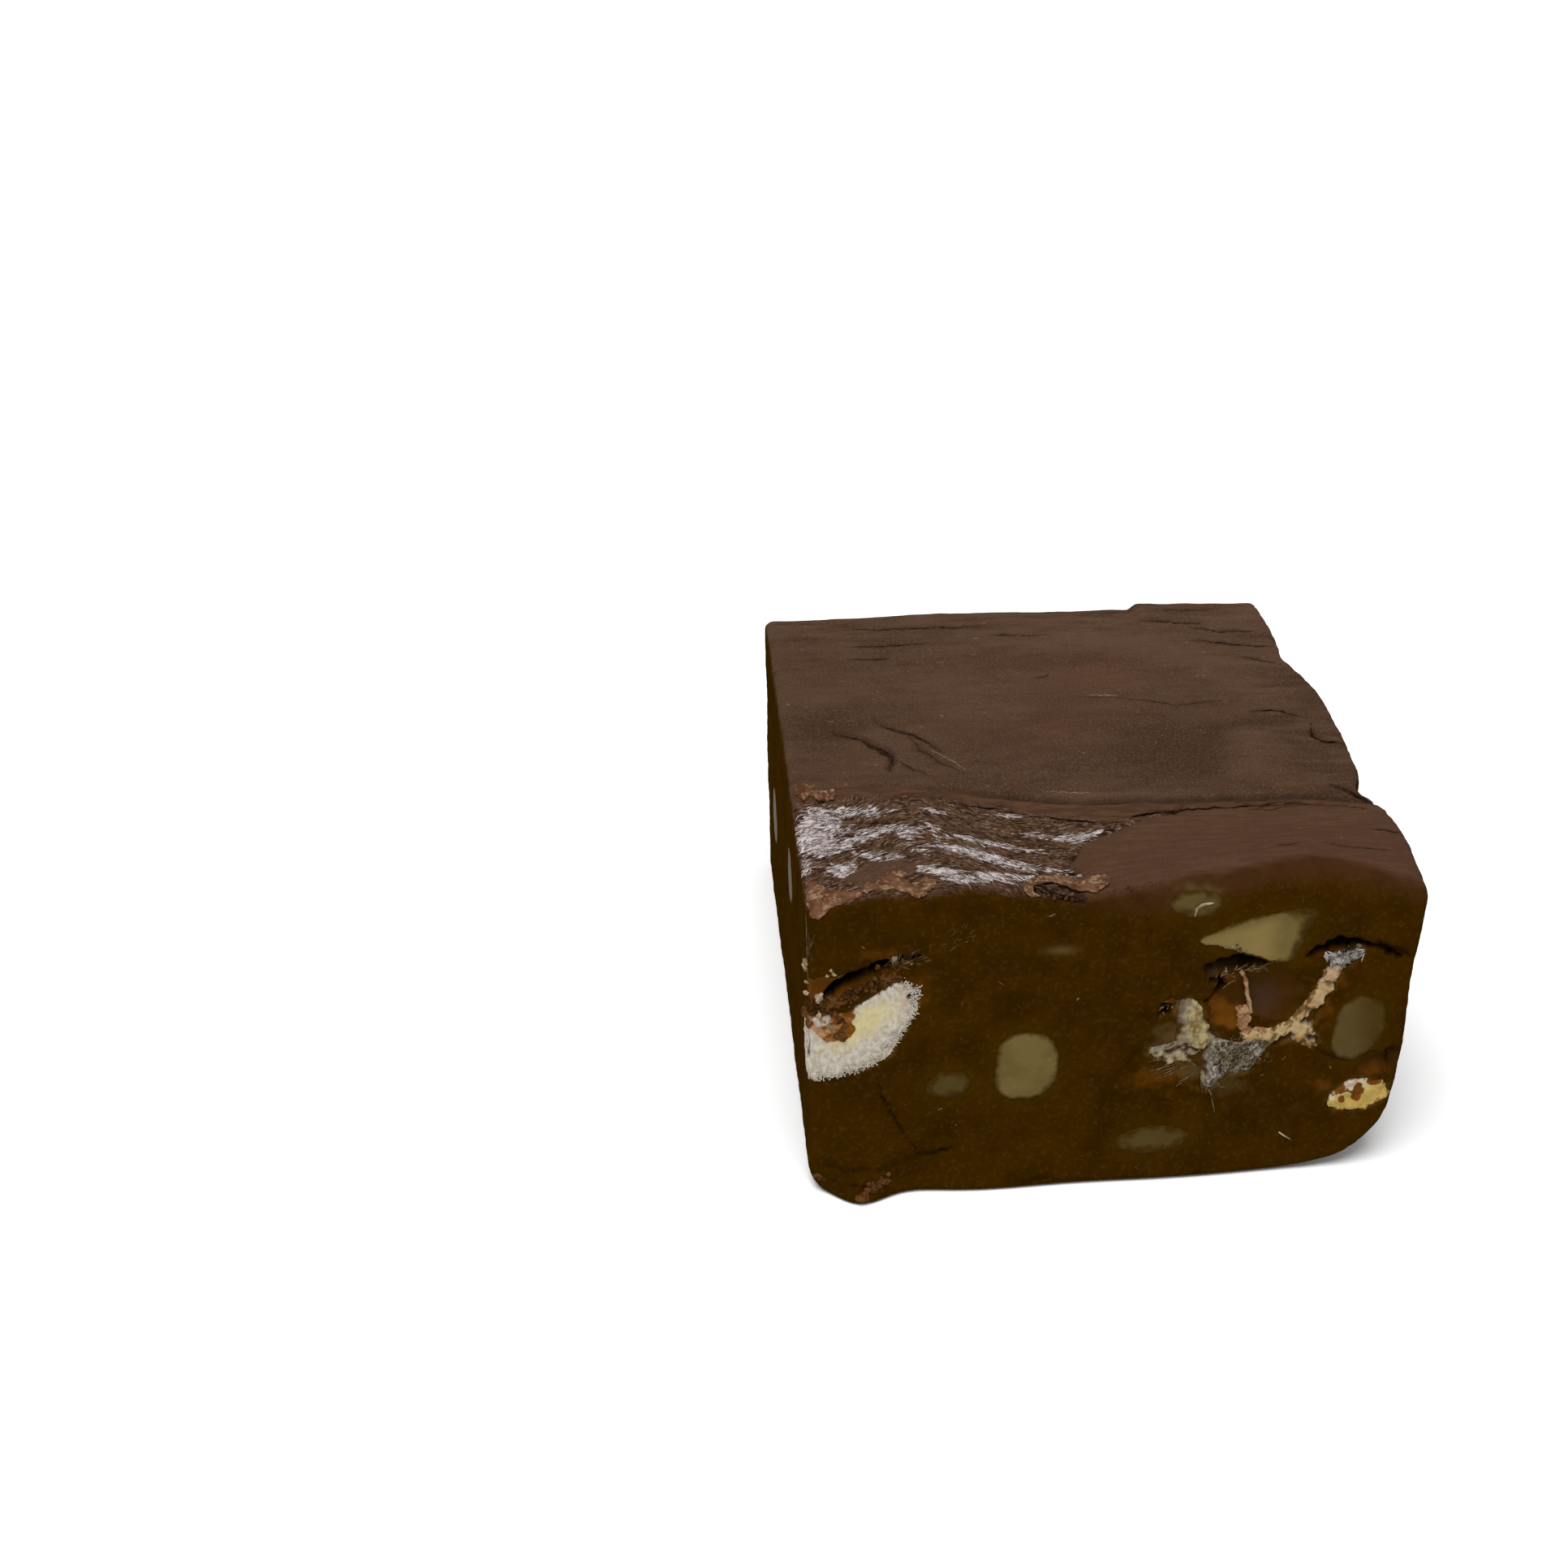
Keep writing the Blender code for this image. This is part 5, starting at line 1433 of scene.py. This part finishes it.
class Paint:
    """A node material whose textures are measured in millimetres on the object."""

    def __init__(self, name, roughness, specular):
        material = bpy.data.materials.new(name + "_paint")
        material.use_nodes = True
        self.tree = material.node_tree
        self.place = self.node("TexCoord", "Object", {})
        self.shade({"Roughness": roughness, "Specular IOR Level": specular})

    def feed(self, node, inputs):
        for key, source in inputs.items():
            if isinstance(source, Wire):
                self.tree.links.new(source.output, node.inputs[key])
            else:
                node.inputs[key].default_value = linear(source) if isinstance(source, str) else source

    def shade(self, inputs):
        self.feed(self.tree.nodes["Principled BSDF"], inputs)

    def node(self, kind, output, inputs, **settings):
        node = self.tree.nodes.new("ShaderNode" + kind)
        for key, setting in settings.items():
            setattr(node, key, setting)
        self.feed(node, inputs)
        return Wire(self, node.outputs[output])

    def value(self, name, output="Fac"):
        return self.node("Attribute", output, {}, attribute_name=name)

    def noise(self, grain, detail=3, rough=0.55, stretch=(1, 1, 1), place=None, unit=1000, twist=0):
        scale = tuple(unit / (grain * part) for part in stretch)
        place = self.node("Mapping", "Vector", {"Vector": place or self.place, "Scale": scale})
        inputs = {"Vector": place, "Scale": 1, "Detail": detail, "Roughness": rough, "Distortion": twist}
        return self.node("TexNoise", "Fac", inputs)

    def coats(self, colour, *coats):
        """A colour with others laid over it in turn, each with its share."""
        for share, coat in coats:
            colour = self.node("Mix", 2, {0: share, 6: colour, 7: coat}, data_type="RGBA")
        return colour

    def bump(self, height, reach_mm, strength):
        inputs = {"Strength": strength, "Distance": reach_mm * MM, "Height": height}
        self.shade({"Normal": self.node("Bump", "Normal", inputs)})


def fudge_paint():
    paint = Paint("fudge", 0.7, 0)
    value, noise, coats = paint.value, paint.noise, paint.coats
    mottle = noise(3.2, 5, 0.6)
    grain = noise(0.45, 4, 0.7)
    fine = noise(0.2, 3, 0.6)

    # The cut sides, with their hollows, slots painted in shadow, and smudges
    streak = noise(0.9, 4, 0.6, (1, 1, 7)).span(0.54, 0.72)
    cut = coats(
        "cut_dark", (mottle.span(0.25, 0.75), "cut_light"), (grain.span(0.48, 0.75, 0, 0.4), "cut_pale"),
        (noise(0.4, 2, 0.5).span(0.73, 0.78, 0, 0.5), "ghost"), (value("halo") * 0.35, "cut_halo"),
        (value("blush") * mottle.span(0.3, 0.7, 0.4, 0.9), "cut_blush"),
        # the left side's own streaky grain, painted olive green as the sheen of a grazing reflection
        (value("left") * (streak * 0.7), "left_streak_sheen"), (value("torn"), "torn_brown"),
        (value("orange") * noise(1.8).span(0.25, 0.55, 0.3, 1), "torn_orange"), (value("plum"), "plum"),
        (value("ghost"), "ghost"), (value("rim") * noise(1.2).span(0.4, 0.65, 0, 0.7), "mallow_rim"),
        # near-black painted shadow in the slots
        (value("deep"), "deep"),
    )

    # The poured skin on top, going from its shaded colour to its lit one by its painted sheen and shade
    sheen = value("sheen") + noise(7, 3, 0.55, (2, 1, 1)).span(0.3, 0.7, -0.14, 0.14)
    brushed = noise(0.8, 5, 0.65, (3, 1, 1)).span(0.36, 0.5, 0.22, 0)
    dash = noise(0.5, 2, 0.5, (2.4, 1, 1)).span(0.72, 0.78, 0, 0.6)
    edges = value("band").maths("MAXIMUM", value("flap") * 0.5)
    edges = edges * noise(0.5, 4, 0.6, (6, 1, 1)).span(0.42, 0.6, 0.6, 0)
    skin_colour = coats(
        "skin_dark", (sheen.span(0, 1), "skin_lit"), (value("red") * 0.22, "skin_red"),
        (fine.span(0.42, 0.7, 0, 0.45), "skin_pale"), (brushed, "skin_dark"), (dash, "strip_pale"),
        (value("flap") * 0.6, "flap_tint"), (value("band") * 0.8, "band_colour"), (edges, "skin_dark"),
    )

    # The strip in front: short pale dashes along its flow, thick white ones where it is smeared
    flow = value("flow", "Vector")
    worm = noise(0.2, 2, 0.5, (2.8, 1, 1), flow, 1, 0.9)
    coarse = noise(0.5, 3, 0.6, (3, 1, 1), flow, 1, 0.6)
    texture = worm * 0.45 + coarse * 0.55
    strip_colour = coats(
        "strip_dark", (texture.span(0.42, 0.56), "strip_light"),
        (worm.span(0.56, 0.66, 0, 0.65), "strip_pale"), (value("bare") * 0.85, "strip_bare"),
    )
    smear = value("smear")
    white = (texture + smear * 0.17).span(0.57, 0.72) * smear.span(0.03, 0.3)
    white_colour = coats("smear_grey", (worm.span(0.4, 0.54), "smear_white"))
    skin = value("skin")
    colour = coats(
        cut, (skin, coats(skin_colour, (value("strip"), strip_colour))), (white, white_colour),
        # painted shade in the cracks, the fold, beside the flap and in the edge hole
        (value("dark") * 0.85, "crease"),
    )
    paint.shade({"Base Color": colour, "Roughness": skin.span(0, 1, 0.85, 0.55)})
    paint.bump(grain * 0.5 + texture * value("strip") + fine * 0.2, 0.16, 0.8)


def nut_paint():
    paint = Paint("nut", 0.5, 0.02)
    cloud = paint.noise(2.4, 4)
    fleck = paint.noise(0.5)
    veil = (paint.value("edge") + paint.noise(0.9).span(0.2, 0.8, -0.2, 0.2)).span(0, 0.9, 1, 0)
    cover = paint.value("cover") + cloud.span(0.3, 0.7, -0.1, 0.1)
    colour = paint.coats(
        "nut_dark", (cloud.span(0.35, 0.65), "nut_light"), (paint.value("grey"), "nut_grey"),
        (paint.value("pale"), "nut_pale"), (fleck.span(0.58, 0.8, 0, 0.4), "nut_fleck"),
        (veil.maths("MAXIMUM", cover).maths("MINIMUM", 1), "nut_veil"),
    )
    paint.shade({"Base Color": colour})
    paint.bump(fleck, 0.06, 0.4)


def marshmallow_paint():
    paint = Paint("marshmallow", 0.85, 0.02)
    value, noise, coats = paint.value, paint.noise, paint.coats
    cloud = noise(1.6, 4, 0.6)
    speckle = noise(0.35, 3, 0.6, (1, 1, 1.8))
    yellow = value("yellow") + cloud.span(0.3, 0.7, -0.15, 0.15)
    fibre = noise(0.5, 4, 0.65, (1, 1, 1.7))
    stain_tone = noise(0.8).span(0.42, 0.6) - value("yellow")
    stain = value("stain") + cloud.span(0.3, 0.7, -0.3, 0.3)
    grains = noise(0.26, 4, 0.7, (1, 1, 1.6), None, 1000, 0.5) + cloud.span(0.3, 0.7, -0.05, 0.05)
    ragged = value("edge") + speckle.span(0.3, 0.7, -0.25, 0.25)
    colour = coats(
        "mallow_shade", (speckle.span(0.36, 0.62), "mallow_white"),
        (yellow.span(0, 1, 0, 0.85), "mallow_yellow"), (yellow.span(1.2, 1.9), "mallow_gold"),
        (value("cream"), coats("cream_dark", (fibre.span(0.34, 0.58), "cream_light"))),
        (value("vein"), coats("vein_pale", (noise(1.6, 2).span(0.5, 0.66) * 0.8, "vein_orange"))),
        (value("pink") * cloud.span(0.35, 0.6, 0.3, 0.9), "mallow_pink"),
        (stain.span(0.3, 0.7), coats("stain_brown", (stain_tone.maths("MAXIMUM", 0), "stain_pale"))),
        (value("brown"), "mallow_brown"),
        (value("grit"), coats("grit_dark", (grains.span(0.4, 0.66), "grit_light"))),
        (ragged.span(0, 0.25, 0.9, 0), "mallow_rim"),
    )
    paint.shade({"Base Color": colour})
    paint.bump(speckle + cloud, 0.14, 0.7)


def flake_paint():
    paint = Paint("flake", 0.8, 0.02)
    tone = paint.noise(1.6, 4, 0.6)
    # Pale patches strewn at random: painted highlights on the flakes
    pale = paint.value("pale") * paint.noise(0.4, 4).span(0.45, 0.6)
    paint.shade({
        "Base Color": paint.coats("flake_dark", (tone.span(0.36, 0.6), "flake_light"), (pale, "flake_highlight"))
    })
    paint.bump(tone, 0.15, 0.8)


def bit_paint(name, dark, light, grain):
    paint = Paint(name, 0.85, 0.02)
    share = paint.noise(grain, 4, 0.65).span(0.38, 0.62)
    paint.shade({"Base Color": paint.coats(dark, (share, light))})
    paint.bump(paint.noise(0.25), 0.08, 0.6)


# Studio

CAMERA_PLACE = (-38.69, -180.80, 121.49)
CAMERA_TURN = (62.17, 0, -3.79)
CAMERA_LENS = 50
TOWARDS_LIGHT = (-0.12, -0.24, 0.68)
LIGHT_SPREAD = 0.6
LIGHT_STRENGTH = 2.85
SKY_STRENGTH = 0.5
FLOOR_REACH = 3  # metres to each side
FLOOR_GREY = 0.92


def build_studio():
    scene = bpy.context.scene
    scene.view_settings.view_transform = "Standard"
    camera_data = bpy.data.cameras.new("camera")
    camera_data.lens = CAMERA_LENS
    camera_data.sensor_width = 36
    camera_data.clip_start = 0.01
    scene.camera = bpy.data.objects.new("camera", camera_data)
    scene.camera.location = Vector(CAMERA_PLACE) * MM
    scene.camera.rotation_euler = [math.radians(turn) for turn in CAMERA_TURN]

    scene.world = bpy.data.worlds.new("studio")
    scene.world.use_nodes = True
    sky = scene.world.node_tree.nodes["Background"]
    sky.inputs["Color"].default_value = (1, 1, 1, 1)
    sky.inputs["Strength"].default_value = SKY_STRENGTH

    light_data = bpy.data.lights.new("overhead", "SUN")
    light_data.angle = LIGHT_SPREAD
    light_data.energy = LIGHT_STRENGTH
    light = bpy.data.objects.new("overhead", light_data)
    light.rotation_euler = Vector(TOWARDS_LIGHT).to_track_quat("Z", "Y").to_euler()

    Paint("floor", 1, 0).shade({"Base Color": (FLOOR_GREY, FLOOR_GREY, FLOOR_GREY, 1)})
    corners = FLOOR_REACH * np.array(((-1, -1, 0), (1, -1, 0), (1, 1, 0), (-1, 1, 0)))
    mesh = raw_mesh("floor", corners, [(0, 1, 2, 3)])
    mesh.materials.append(bpy.data.materials["floor_paint"])
    floor = bpy.data.objects.new("floor", mesh)
    for thing in (scene.camera, light, floor):
        scene.collection.objects.link(thing)


def main():
    build_studio()
    for make_paint in (fudge_paint, nut_paint, marshmallow_paint, flake_paint):
        make_paint()
    for name, looks in BIT_PAINTS.items():
        bit_paint(name, *looks)
    build_fudge()
    for name in NUTS:
        build_nut(name)
    for name in MARSHMALLOWS:
        build_marshmallow(name)
    for name, form in FLAKES.items():
        build_flake(name, *form)
    build_crease_shades()
    build_slit()
    build_torn_bits()
    build_strip_bits()
    build_low_flake()
    build_chips()


main()
